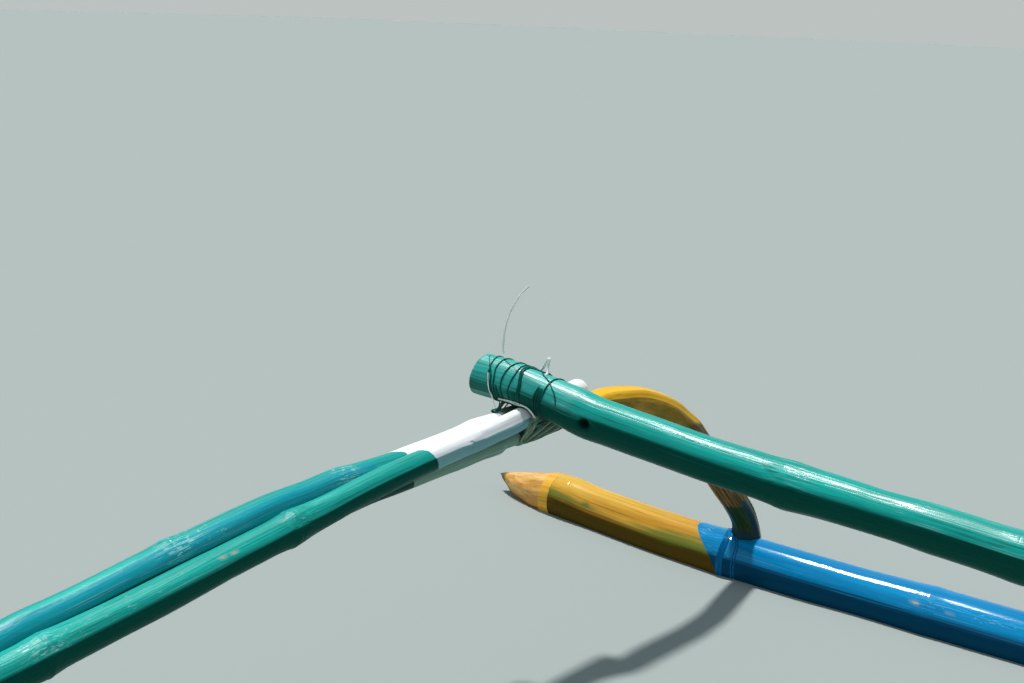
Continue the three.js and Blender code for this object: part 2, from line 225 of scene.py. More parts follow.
FLOAT_M, SIDE_M = mirrored(metres(FLOAT_AXIS)), mirrored(metres(SIDE_AXIS))
BOOM_M, STRUT_M = metres(BOOM_AXIS), metres(STRUT_AXIS)
STATIONS = [("bow", STATION_X, 1, 0.0, 11), ("mid", 0.0, 1, MID_DROP, 37), ("stern", -STATION_X, -1, 0.0, 71)]


# ---- camera at the photograph's viewing angle ------------------------------------------
def camera():
    yaw, pitch, roll = (math.radians(a) for a in (37.6, 13.3, 2.1))
    f = np.array([math.sin(yaw) * math.cos(pitch), -math.cos(yaw) * math.cos(pitch), -math.sin(pitch)])
    r = unit(np.cross(f, [0, 0, 1]))
    u = np.cross(r, f)
    right = r * math.cos(roll) + u * math.sin(roll)
    up = -r * math.sin(roll) + u * math.cos(roll)
    data = bpy.data.cameras.new("camera")
    data.sensor_width = 36
    data.sensor_fit = "HORIZONTAL"
    data.lens = 1398 / 1024 * 36
    data.clip_end = 500
    obj = bpy.data.objects.new("camera", data)
    m = Matrix.Identity(4)
    for i in range(3):
        m[i][0], m[i][1], m[i][2] = right[i], up[i], -f[i]
    m[0][3], m[1][3], m[2][3] = -0.21, 3.49, 1.57
    obj.matrix_world = m
    bpy.context.scene.collection.objects.link(obj)
    bpy.context.scene.camera = obj


camera()


# ---- material helpers ---------------------------------------------------------------------
def rgb(hexa):
    c = [int(hexa[i:i + 2], 16) / 255 for i in (1, 3, 5)]
    return [v / 12.92 if v <= 0.04045 else ((v + 0.055) / 1.055) ** 2.4 for v in c] + [1.0]


class Mat:
    """A Principled material and short names for the nodes that feed it."""

    def __init__(self, name):
        self.mat = bpy.data.materials.new(name)
        self.mat.use_nodes = True
        self.tree = self.mat.node_tree
        self.tree.nodes.clear()
        self.out = self.tree.nodes.new("ShaderNodeOutputMaterial")
        self.shader = self.tree.nodes.new("ShaderNodeBsdfPrincipled")
        self.tree.links.new(self.shader.outputs[0], self.out.inputs[0])

    def put(self, socket, value):
        if isinstance(value, bpy.types.NodeSocket):
            self.tree.links.new(value, socket)
        elif value is not None:
            socket.default_value = value

    def set(self, **values):
        for key, v in values.items():
            self.put(self.shader.inputs[key.replace("_", " ")], v)

    def vec(self, name):
        n = self.tree.nodes.new("ShaderNodeAttribute")
        n.attribute_name = name
        return n.outputs["Vector"]

    def fac(self, name):
        n = self.tree.nodes.new("ShaderNodeAttribute")
        n.attribute_name = name
        return n.outputs["Fac"]

    def math(self, op, a, b=0.0, clamp=False):
        n = self.tree.nodes.new("ShaderNodeMath")
        n.operation, n.use_clamp = op, clamp
        self.put(n.inputs[0], a)
        self.put(n.inputs[1], b)
        return n.outputs[0]

    def add(self, a, b): return self.math("ADD", a, b)
    def sub(self, a, b): return self.math("SUBTRACT", a, b)
    def mul(self, a, b): return self.math("MULTIPLY", a, b)

    def ramp(self, v, lo, hi, to_lo=0.0, to_hi=1.0):
        n = self.tree.nodes.new("ShaderNodeMapRange")
        n.interpolation_type = "SMOOTHSTEP"
        for k, x in zip(range(5), (v, lo, hi, to_lo, to_hi)):
            self.put(n.inputs[k], x)
        return n.outputs[0]

    def scaled(self, v, xyz):
        n = self.tree.nodes.new("ShaderNodeVectorMath")
        n.operation = "MULTIPLY"
        self.put(n.inputs[0], v)
        n.inputs[1].default_value = xyz
        return n.outputs[0]

    def noise(self, v, xyz, detail=3.0, rough=0.55, distort=0.0):
        n = self.tree.nodes.new("ShaderNodeTexNoise")
        self.put(n.inputs["Vector"], self.scaled(v, xyz))
        n.inputs["Scale"].default_value = 1.0
        n.inputs["Detail"].default_value = detail
        n.inputs["Roughness"].default_value = rough
        n.inputs["Distortion"].default_value = distort
        return n.outputs[0]

    def mix(self, f, a, b):
        n = self.tree.nodes.new("ShaderNodeMix")
        n.data_type = "RGBA"
        self.put(n.inputs[0], f)
        self.put(n.inputs[6], a)
        self.put(n.inputs[7], b)
        return n.outputs[2]

    def blend(self, f, a, b):
        n = self.tree.nodes.new("ShaderNodeMix")
        n.data_type = "FLOAT"
        self.put(n.inputs[0], f)
        self.put(n.inputs[2], a)
        self.put(n.inputs[3], b)
        return n.outputs[0]

    def bump(self, height, distance, strength=1.0):
        n = self.tree.nodes.new("ShaderNodeBump")
        n.inputs["Strength"].default_value = strength
        n.inputs["Distance"].default_value = distance
        self.put(n.inputs["Height"], height)
        return n.outputs[0]


# the last colour of each palette is painted shade: the dark that the paint is given on undersides and shaded flanks
TEAL = dict(light="#09b0a5", deep="#04968b", line="#02564b", scuff="#b8ece6", chip="#b8b0a4", under="#00463b")
BLUISH = dict(light="#17b8ac", deep="#059c98", line="#02585a", scuff="#bdeeea", chip="#cfc0ae", under="#005048")
WHITE = dict(light="#f8f9f8", deep="#eceff1", line="#a4b2bb", scuff="#c4cdd4", chip="#8b8f86", under="#76a9ae")
OCHRE = dict(light="#deaf3e", deep="#c08a24", line="#74500f", scuff="#f4dca0", chip="#c9a35c", under="#4d3e0c")
BLUE = dict(light="#0192cc", deep="#007cb4", line="#02406c", scuff="#a6d4e8", chip="#c9b69c", under="#00405e")


def coat(m, flow, wear, pal, rough, lines=1.0, shift=0.0, streaky=1.0):
    """Brushed enamel over culm or wood: returns its colour, roughness and relief sockets.
    flow runs along the piece in x; wear is from 0 to 1."""
    at = flow
    if shift:
        n = m.tree.nodes.new("ShaderNodeVectorMath")
        n.operation = "ADD"
        m.put(n.inputs[0], flow)
        n.inputs[1].default_value = (shift, shift * 0.37, shift * 0.61)
        at = n.outputs[0]
    broad = m.noise(at, (1.3, 26, 26), 3)
    brush = m.noise(at, (3.2, 130, 130), 3, 0.6)
    fibre = m.noise(at, (1.5, 215, 215), 2, 0.5)
    hair = m.noise(at, (6.5, 520, 520), 2, 0.5)
    patch = m.noise(at, (3.5, 11, 11), 3, 0.55)
    speck = m.noise(at, (55, 190, 190), 3, 0.65)
    col = m.mix(m.ramp(broad, 0.34, 0.66), rgb(pal["deep"]), rgb(pal["light"]))
    col = m.mix(m.mul(m.ramp(brush, 0.54, 0.70), 0.38 * lines), col, rgb(pal["line"]))
    dark = m.mul(m.mul(m.ramp(fibre, 0.585, 0.635), m.ramp(patch, 0.36, 0.60)), 0.70 * lines)
    col = m.mix(m.math("MINIMUM", dark, 1.0), col, rgb(pal["line"]))
    # pale lines beside the dark fibre lines: a painted sheen along the ridges
    light = m.mul(m.mul(m.ramp(fibre, 0.40, 0.36), m.ramp(patch, 0.56, 0.42)), 0.28 * lines)
    col = m.mix(light, col, rgb(pal["scuff"]))
    pale = m.mul(m.ramp(m.add(speck, m.mul(wear, 0.20)), 0.66, 0.74), m.ramp(wear, 0.05, 0.8))
    streak = m.mul(m.ramp(m.add(hair, m.mul(wear, 0.16)), 0.66, 0.74), m.ramp(wear, 0.05, 0.9, 0.06, 0.9))
    worn = m.math("MAXIMUM", pale, streak)
    col = m.mix(m.mul(worn, 0.75), col, rgb(pal["scuff"]))
    chip = m.mul(m.ramp(m.add(m.noise(at, (40, 95, 95), 2, 0.5), m.mul(wear, 0.10)), 0.76, 0.78), m.ramp(wear, 0.45, 0.8))
    chip = m.math("MAXIMUM", m.mul(chip, 0.85), m.fac("chip"))
    col = m.mix(chip, col, rgb(pal["chip"]))
    # painted shade: the paint is darkened towards its last palette colour where the piece's mask says it lies in shade,
    # with a ragged edge
    shade = m.add(m.fac("under"), m.add(m.mul(m.sub(fibre, 0.5), 0.8), m.mul(m.sub(broad, 0.5), 0.4)))
    low = m.ramp(shade, 0.22, 0.86)
    m.low = low
    col = m.mix(m.mul(low, 0.97), col, rgb(pal["under"]))
    rgh = m.add(m.add(rough, m.mul(worn, 0.25)), m.add(m.mul(m.ramp(hair, 0.44, 0.60), 0.17 * streaky),
                                                       m.mul(m.ramp(brush, 0.42, 0.66), 0.12 * streaky)))
    relief = m.add(m.add(m.mul(brush, 0.55), m.mul(fibre, 0.65)), m.add(m.mul(hair, 0.35), m.mul(chip, -0.5)))
    return col, rgh, relief


def pole_material(name, pal, other=None, rough=0.24, shift=0.0, green=0.0, dirt=0.0, bump=0.0006, lines=1.0,
                  streaky=1.0, band=None, dents=0.0, gloss=0.26):
    """Painted culm: first paint where edge < 0, other paint where edge > 0, bare culm where bare is 1."""
    m = Mat(name)
    flow, wear = m.vec("flow"), m.fac("wear")
    col, rgh, relief = coat(m, flow, wear, pal, rough, lines, shift, streaky)
    # the amount of painted shade, which also lowers the specular level there
    painted_shade_amount = m.low
    if band:   # a bluer coat along one side, its border brushed out
        pal3 = dict(pal, light=band[0], deep=band[1])
        col3, _, _ = coat(m, flow, wear, pal3, rough, lines, shift + 5.3, streaky)
        ragged = m.mul(m.sub(m.noise(flow, (2.2, 60, 60), 3, 0.6), 0.5), 0.9)
        col = m.mix(m.ramp(m.add(m.fac("band"), ragged), 0.38, 0.62), col, col3)
    if green:  # older green paint showing through in long streaks
        streaks_green = m.add(m.noise(flow, (1.6, 22, 22), 3, 0.6), m.mul(m.fac("old"), 0.30))
        col = m.mix(m.mul(m.ramp(streaks_green, 0.64, 0.80), green), col, rgb("#5f7a30"))
        streaks = m.ramp(m.noise(flow, (2.4, 62, 62), 3, 0.65), 0.56, 0.72)
        col = m.mix(m.mul(streaks, 0.42), col, rgb("#8f5210"))
        gold = m.ramp(m.noise(flow, (1.9, 34, 34), 3, 0.6), 0.58, 0.74)
        col = m.mix(m.mul(gold, 0.40), col, rgb("#e8b33c"))
    if other:
        pal2, rough2, ragged, lines2, streaky2 = other
        col2, rgh2, relief2 = coat(m, flow, wear, pal2, rough2, lines2, shift + 3.1, streaky2)
        if dirt:
            soil = m.mul(m.ramp(m.noise(flow, (4.5, 46, 46), 4, 0.65), 0.54, 0.80), dirt)
            col2 = m.mix(soil, col2, rgb("#9a9a94"))
        fray = m.add(m.mul(m.sub(m.noise(flow, (9, 85, 85), 3, 0.6), 0.5), ragged * 2.2),
                     m.mul(m.sub(m.noise(flow, (22, 30, 30), 2, 0.5), 0.5), ragged))
        side = m.ramp(m.add(m.fac("edge"), fray), -0.0008, 0.0008)
        col = m.mix(side, col, col2)
        rgh = m.blend(side, rgh, rgh2)
        relief = m.add(m.blend(side, relief, m.mul(relief2, 0.6)), m.mul(side, 0.35))
    # real stains, and painted shade on the fore pole under the lashings
    col = m.mix(m.fac("stain_and_shade"), col, rgb("#3e5a2c"))
    # painted shade inside the knot holes
    col = m.mix(m.mul(m.ramp(m.fac("hole_shade"), 0.18, 0.85), 0.93), col, rgb("#021512"))
    bare = m.fac("bare")
    grain = m.noise(flow, (30, 420, 420), 3, 0.6)
    wood = m.mix(m.ramp(grain, 0.35, 0.65), rgb("#8f6f42"), rgb("#cdb27c"))
    col = m.mix(bare, col, wood)
    rgh = m.blend(m.math("MAXIMUM", bare, m.fac("hole_shade")), m.add(rgh, m.mul(m.fac("haze"), 0.13)), 0.7)
    if dents:
        relief = m.add(relief, m.mul(m.noise(flow, (60, 130, 130), 3, 0.6), dents))
    m.set(Base_Color=col, Roughness=rgh, Normal=m.bump(relief, bump), Specular_IOR_Level=m.blend(painted_shade_amount, m.add(gloss, m.mul(m.fac("haze"), 0.36)), 0.04), IOR=1.5)
    return m.mat


SIDE_PAINT = pole_material("side_pole_paint", TEAL, rough=0.19, bump=0.0010, lines=1.15, streaky=1.0)
AFT_PAINT = pole_material("aft_pole_paint", TEAL, (WHITE, 0.34, 0.006, 0.5, 0.6), rough=0.26, shift=7.0, dirt=0.40,
                          bump=0.0011, lines=0.7, dents=0.7)
FORE_PAINT = pole_material("fore_pole_paint", BLUISH, (WHITE, 0.34, 0.007, 0.35, 0.6), rough=0.24, shift=13.0, dirt=0.18,
                           bump=0.0011, lines=0.6, band=("#08a3b2", "#0490a0"), dents=0.7)
FLOAT_PAINT = pole_material("float_paint", OCHRE, (BLUE, 0.085, 0.003, 0.45, 0.18), rough=0.15, shift=19.0, green=0.80,
                            bump=0.0004, lines=0.6, streaky=0.35, gloss=0.34)


def strut_material():
    m = Mat("strut_paint")
    flow, wear = m.vec("flow"), m.fac("wear")
    # the last colour of the strut's paint is its painted shade
    col, rgh, relief = coat(m, flow, wear, dict(light="#f0bc2c", deep="#dca01c", line="#8a5c10", scuff="#f6da8c",
                                                chip="#8d6a33", under="#6a4a10"), 0.30, 0.6, 29.0)
    shade = m.fac("shade")          # painted shade and painted green reflection: the arch's inboard faces are coloured olive
    ragged = m.mul(m.sub(m.noise(flow, (7, 60, 60), 4, 0.6), 0.5), 0.5)
    mottle = m.noise(flow, (9, 40, 40), 3, 0.6)
    olive = m.mix(m.ramp(mottle, 0.38, 0.64), rgb("#7a6a18"), rgb("#b08424"))
    olive = m.mix(m.mul(m.ramp(m.noise(flow, (14, 90, 90), 3, 0.6), 0.54, 0.72), 0.6), olive, rgb("#96601c"))
    col = m.mix(m.ramp(m.add(shade, m.mul(ragged, 0.6)), 0.42, 0.58), col, olive)
    raw = m.fac("raw")              # bare brown wood with pale splinter lines, under the arch
    fibres = m.noise(flow, (6, 240, 240), 3, 0.7)
    brown = m.mix(m.ramp(fibres, 0.46, 0.66), rgb("#4c3a12"), rgb("#9a7434"))
    brown = m.mix(m.mul(m.ramp(mottle, 0.52, 0.66), 0.6), brown, rgb("#55521a"))
    splint = m.mul(m.ramp(m.noise(flow, (9, 330, 330), 2, 0.6), 0.62, 0.68), m.ramp(raw, 0.7, 1.0))
    brown = m.mix(m.mul(splint, 0.8), brown, rgb("#d8a878"))
    col = m.mix(m.ramp(m.add(raw, ragged), 0.40, 0.62), col, brown)
    # the lower leg's dark green paint, made darker still as painted shade
    green = m.fac("green")
    col = m.mix(m.ramp(m.add(green, ragged), 0.40, 0.72), col,
                m.mix(m.ramp(fibres, 0.4, 0.65), rgb("#0b2c12"), rgb("#2c4418")))
    # blue-teal paint at the foot and along the aft edge, darkened as painted shade, near black at the foot
    blue = m.fac("blue")
    navy = m.mix(m.ramp(m.noise(flow, (9, 50, 50), 3, 0.6), 0.35, 0.7), rgb("#044a44"), rgb("#0b7270"))
    navy = m.mix(m.ramp(m.fac("foot"), 0.25, 0.85), navy, rgb("#02323c"))
    over = m.ramp(m.add(blue, m.mul(ragged, 0.7)), 0.44, 0.54)
    col = m.mix(over, col, navy)
    # the tail that lies under the poles carries the boom's own paints, darkened as painted shade; the white one is also
    # tinted green as a painted reflection
    tail_teal, _, _ = coat(m, flow, wear, dict(TEAL, light="#014a3e", deep="#003a30"), 0.3, 0.6, 31.0)
    tail_white, _, _ = coat(m, flow, wear, dict(WHITE, light="#85a892", deep="#6a917c"), 0.4, 0.8, 37.0)
    fray = m.mul(m.sub(m.noise(flow, (18, 60, 60), 3, 0.6), 0.5), 0.02)
    tail = m.mix(m.ramp(m.add(m.fac("edge"), fray), -0.001, 0.001), tail_teal, tail_white)
    col = m.mix(m.ramp(m.add(m.fac("tail"), m.mul(ragged, 0.15)), 0.45, 0.55), col, tail)
    rgh = m.blend(over, rgh, 0.24)
    rough_cut = m.noise(flow, (16, 55, 55), 3, 0.6)
    relief = m.add(relief, m.mul(rough_cut, 0.9))
    m.set(Base_Color=col, Roughness=rgh, Normal=m.bump(relief, 0.0009), Specular_IOR_Level=0.16)
    return m.mat


def plug_material():
    m = Mat("carved_wood")
    flow = m.vec("flow")
    grain = m.noise(flow, (3.5, 120, 120), 4, 0.62, 0.3)
    long_grain = m.noise(flow, (2.0, 34, 34), 3, 0.6)
    col = m.mix(m.ramp(long_grain, 0.36, 0.64), rgb("#cf9140"), rgb("#efc070"))
    col = m.mix(m.mul(m.ramp(grain, 0.52, 0.70), 0.5), col, rgb("#8a5118"))
    low = m.fac("low")              # browner towards the bottom
    col = m.mix(m.mul(m.ramp(m.add(low, m.mul(m.sub(long_grain, 0.5), 0.8)), 0.40, 0.72), 0.8), col, rgb("#643a12"))
    tip = m.fac("tip")
    col = m.mix(m.mul(m.ramp(m.add(tip, m.mul(m.sub(grain, 0.5), 0.5)), 0.55, 0.9), 0.8), col, rgb("#3c2610"))
    band = m.fac("band")            # yellow paint lapped on from the trunk
    rag = m.mul(m.sub(m.noise(flow, (12, 60, 60), 3, 0.6), 0.5), 0.8)
    col = m.mix(m.ramp(m.add(band, rag), 0.40, 0.66), col,
                m.mix(m.ramp(grain, 0.4, 0.65), rgb("#f0b838"), rgb("#d9962a")))
    m.set(Base_Color=col, Roughness=m.add(0.42, m.mul(grain, 0.2)), Normal=m.bump(m.add(grain, m.mul(long_grain, 0.8)), 0.0014),
          Specular_IOR_Level=0.35)
    return m.mat


def cord_material(name, cord_light, cord_dark, paint_light, paint_dark, rough, hollow=0.55):
    """Twisted cord; paint 0 to 1 says how far it was painted over."""
    m = Mat(name)
    flow, paint = m.vec("flow"), m.fac("paint")
    dirt = m.noise(flow, (35, 260, 260), 4, 0.65)
    lay = m.fac("lay")
    bare = m.mix(m.ramp(dirt, 0.36, 0.66), rgb(cord_dark), rgb(cord_light))
    # painted shade in the grooves between the strands
    bare = m.mix(m.mul(m.ramp(lay, 0.9, 0.0), hollow), bare, rgb("#3d3a2c"))
    wet = m.mix(m.ramp(dirt, 0.38, 0.66), rgb(paint_dark), rgb(paint_light))
    # painted shade: cords in the shade are darkened, bare ones to a dark green, painted ones to a dark teal
    bare = m.mix(m.mul(m.fac("cord_shade"), 0.8), bare, rgb("#16352a"))
    wet = m.mix(m.mul(m.fac("cord_shade"), 0.9), wet, rgb("#00473d"))
    cover = m.ramp(m.add(paint, m.mul(m.sub(m.noise(flow, (60, 120, 120), 3, 0.6), 0.5), 0.7)), 0.40, 0.60)
    fuzz = m.noise(flow, (420, 900, 900), 2, 0.6)
    m.set(Base_Color=m.mix(cover, bare, wet), Roughness=m.blend(cover, 0.85, rough), Normal=m.bump(fuzz, 0.00035),
          Specular_IOR_Level=m.blend(cover, 0.30, 0.10))
    return m.mat


STRUT_PAINT = strut_material()
CARVED = plug_material()
# the painted colours of the cords are a darker teal than the pole's paint: paint, and painted shade along their edges
PALE_CORD = cord_material("pale_cord", "#b2cfb6", "#66886e", "#056f65", "#024b43", 0.32)
WHITE_CORD = cord_material("white_cord", "#ffffff", "#e4e8e0", "#056a60", "#02453d", 0.32, 0.2)
BLUE_CORD = cord_material("blue_cord", "#c9c6b4", "#85836c", "#0279b4", "#015a8c", 0.18)


# ---- cords -----------------------------------------------------------------------------------
def resample(points, step, closed=False):
    """Centripetal Catmull-Rom curve through the points, in even steps."""
    p = np.asarray(points, float)
    keep = np.ones(len(p), bool)
    keep[1:] = np.linalg.norm(np.diff(p, axis=0), axis=1) > 1e-5
    p = p[keep]
    if closed and np.linalg.norm(p[0] - p[-1]) < 1e-5:
        p = p[:-1]
    if closed:
        q = np.concatenate([p[-1:], p, p[:2]])
        spans = len(p)
    else:
        q = np.concatenate([[2 * p[0] - p[1]], p, [2 * p[-1] - p[-2]]])
        spans = len(p) - 1
    out = []
    for i in range(spans):
        a, b, c, d = q[i], q[i + 1], q[i + 2], q[i + 3]
        t0 = 0.0
        t1 = t0 + max(np.linalg.norm(b - a), 1e-6) ** 0.5
        t2 = t1 + max(np.linalg.norm(c - b), 1e-6) ** 0.5
        t3 = t2 + max(np.linalg.norm(d - c), 1e-6) ** 0.5
        k = max(2, int(np.linalg.norm(c - b) / step * 2) + 1)
        t = (t1 + (t2 - t1) * np.arange(k) / k)[:, None]
        A1 = (t1 - t) / (t1 - t0) * a + (t - t0) / (t1 - t0) * b
        A2 = (t2 - t) / (t2 - t1) * b + (t - t1) / (t2 - t1) * c
        A3 = (t3 - t) / (t3 - t2) * c + (t - t2) / (t3 - t2) * d
        B1 = (t2 - t) / (t2 - t0) * A1 + (t - t0) / (t2 - t0) * A2
        B2 = (t3 - t) / (t3 - t1) * A2 + (t - t1) / (t3 - t1) * A3
        out.append((t2 - t) / (t2 - t1) * B1 + (t - t1) / (t2 - t1) * B2)
    out = np.concatenate(out)
    out = np.concatenate([out, out[:1] if closed else p[-1:]])
    seg = np.linalg.norm(np.diff(out, axis=0), axis=1)
    s = np.concatenate([[0], np.cumsum(seg)])
    n = max(4, int(round(s[-1] / step)))
    t = np.linspace(0, s[-1], n + 1)
    res = np.stack([np.interp(t, s, out[:, k]) for k in range(3)], -1)
    return (res[:-1] if closed else res), s[-1]


def frames_along(p, closed):
    """Side directions carried along the line without turning."""
    n = len(p)
    if closed:
        t = unit(np.roll(p, -1, 0) - np.roll(p, 1, 0))
    else:
        t = unit(np.gradient(p, axis=0))
    N = np.zeros_like(p)
    ref = np.array([0.0, 0, 1]) if abs(t[0][2]) < 0.9 else np.array([1.0, 0, 0])
    N[0] = unit(ref - t[0] * ref.dot(t[0]))
    for i in range(1, n):
        v = N[i - 1] - t[i] * N[i - 1].dot(t[i])
        N[i] = v / max(np.linalg.norm(v), 1e-9)
    if closed:
        v = N[-1] - t[0] * N[-1].dot(t[0])
        v /= max(np.linalg.norm(v), 1e-9)
        turn = math.atan2(np.cross(v, N[0]).dot(t[0]), v.dot(N[0]))
        a = turn * np.arange(n) / n
        N = N * np.cos(a)[:, None] + np.cross(t, N) * np.sin(a)[:, None]
    return N, np.cross(t, N)


def rope(points, r, paint=0.0, closed=False, sides=9, step=0.0034, pitch=6.5, twist=True, taper=0.0, seed=0, cord_shade=0.0):
    """Three-strand cord through the points, as (verts, quads, tris, extra). paint, and how far painted shade darkens
    the cord: each a number, or a function of the points.
    """
    p, length = resample(points, step, closed)
    N, B = frames_along(p, closed)
    n = len(p)
    s = np.arange(n) * (length / (n if closed else n - 1))
    th = np.arange(sides) / sides * TAU
    turns = length / (pitch * r * 2)
    if closed:
        turns = max(1, round(turns))
    ph = th[None] - (s / length * turns * TAU / 3 * (1 if closed else 1))[:, None] * (1.0 if not closed else 1.0)
    lobe = np.abs(np.cos(1.5 * ph)) if twist else np.ones((n, sides))
    R = r * (0.80 + 0.22 * lobe) if twist else np.full((n, sides), r)
    R = R * (1 + 0.05 * vnoise(s[:, None] * 90, np.cos(th) * 2, np.sin(th) * 2, seed))
    if not closed:
        end = np.minimum(s, length - s)
        k = np.sqrt(np.clip(end / (r * 0.9) + 0.08, 0, 1))
        R = R * np.clip(k, 0.25, 1)[:, None]
    if taper:
        R = R * (1 - taper * s / length)[:, None]
    amount = paint(p) if callable(paint) else np.full(n, float(paint))
    shade = cord_shade(p) if callable(cord_shade) else np.full(n, float(cord_shade))
    flow = np.stack([np.broadcast_to((s + seed * 0.731)[:, None], R.shape), R * np.cos(ph), R * np.sin(ph)], -1)
    extra = {"flow": flow, "paint": np.broadcast_to(amount[:, None], R.shape).copy(), "lay": lobe,
             "cord_shade": np.broadcast_to(shade[:, None], R.shape).copy()}
    return ring_solid(p, N, B, R, extra, closed)


# ---- the free end of the bow lashing --------------------------------------------------------------
TAIL = [(STATION_X + dx * MM, SIDE_Y, (z + 2) * MM) for dx, z in
        [(93, 766), (95, 788), (92, 822), (83, 858), (66, 893), (45, 922), (24, 942)]]


def tail_piece():
    path, length = resample(TAIL, 0.004)
    verts, quads, tris, extra = rope(TAIL, 0.0025, paint=0.0, sides=10, step=0.0018)
    piece = make_mesh("lashing_tail", verts, quads, tris, extra, WHITE_CORD)
    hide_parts("bow_lashing_tail")


tail_piece()

# ---- poles ------------------------------------------------------------------------------------------
NEAR_NODE = [0, .0012, .0024, .0036, .005, .0066, .0085, .011, .014, .018, .023, .029, .037]


def stations_along(t0, t1, nodes, step):
    ts = list(np.arange(t0, t1, step)) + [t1]
    keep = [t for t in ts if all(abs(t - n) > 0.040 for n in nodes) or t in (t0, t1)]
    for n in nodes:
        for d in NEAR_NODE:
            for s in (-1, 1):
                if t0 + 0.002 < n + s * d < t1 - 0.002:
                    keep.append(n + s * d)
    keep = np.unique(np.round(keep, 6))
    return keep


def culm(t, base, nodes, m, seed, swell=0.085, ridge=0.00018, ring=1.0, scar=1.0, worn=1.0, lean_to=None):
    """Radii of a bamboo pole at [t, side]: swollen nodes with a ring groove, slightly out of round, long fibre ridges.
    swell: one number or one for each node. lean_to: the side that lies against another pole, where nodes are flatter."""
    th = np.arange(m) / m * TAU
    T = t[:, None]
    c, s = np.cos(th)[None], np.sin(th)[None]
    R = base[:, None] * np.ones((1, m))
    R = R * (1 + 0.007 * np.cos(2 * th[None] + 3 * vnoise(T * 0.7, seed=seed)) + 0.006 * vnoise(T * 3.2, c * 1.3, s * 1.3, seed + 1))
    wear = np.zeros_like(R)
    swell = list(swell) if hasattr(swell, "__len__") else [swell] * len(nodes)
    less = 1.0
    if lean_to is not None:
        turn = (th - lean_to + math.pi) % TAU - math.pi
        less = 1 - 0.85 * np.exp(-(turn / 0.6) ** 2)[None]
    for i, n in enumerate(nodes):
        d = T - n
        lean = 0.0030 * np.sin(th + seed + i * 2.1)[None]       # the ring isn't quite square to the pole
        d = d + lean
        amp = swell[i] * (1 + 0.28 * vnoise(c * 1.1 + i * 9.3, s * 1.1, seed=seed + 2)) * less
        side = 1 if (i + seed) % 2 else -1
        body = np.exp(-(d / 0.030) ** 2)
        ring_shape = np.exp(-((d - side * 0.0055) / 0.0045) ** 2)
        cut = np.exp(-((d + side * 0.0022) / 0.0016) ** 2)
        R = R * (1 + amp * (0.80 * body + 0.22 * ring * ring_shape))
        R = R - scar * (0.0011 * cut + 0.0003 * np.exp(-((d + side * 0.012) / 0.003) ** 2))
        wear = np.maximum(wear, worn * np.exp(-(d / 0.045) ** 2) * (0.55 + 0.45 * vnoise(c * 2 + i * 3.1, s * 2, seed=seed + 3)))
    rr = float(np.mean(base))
    R = R + ridge * vnoise(T * 1.6, c * rr * 170, s * rr * 170, seed + 4) + ridge * 1.4 * vnoise(T * 1.1, c * rr * 70, s * rr * 70, seed + 5)
    return R, wear


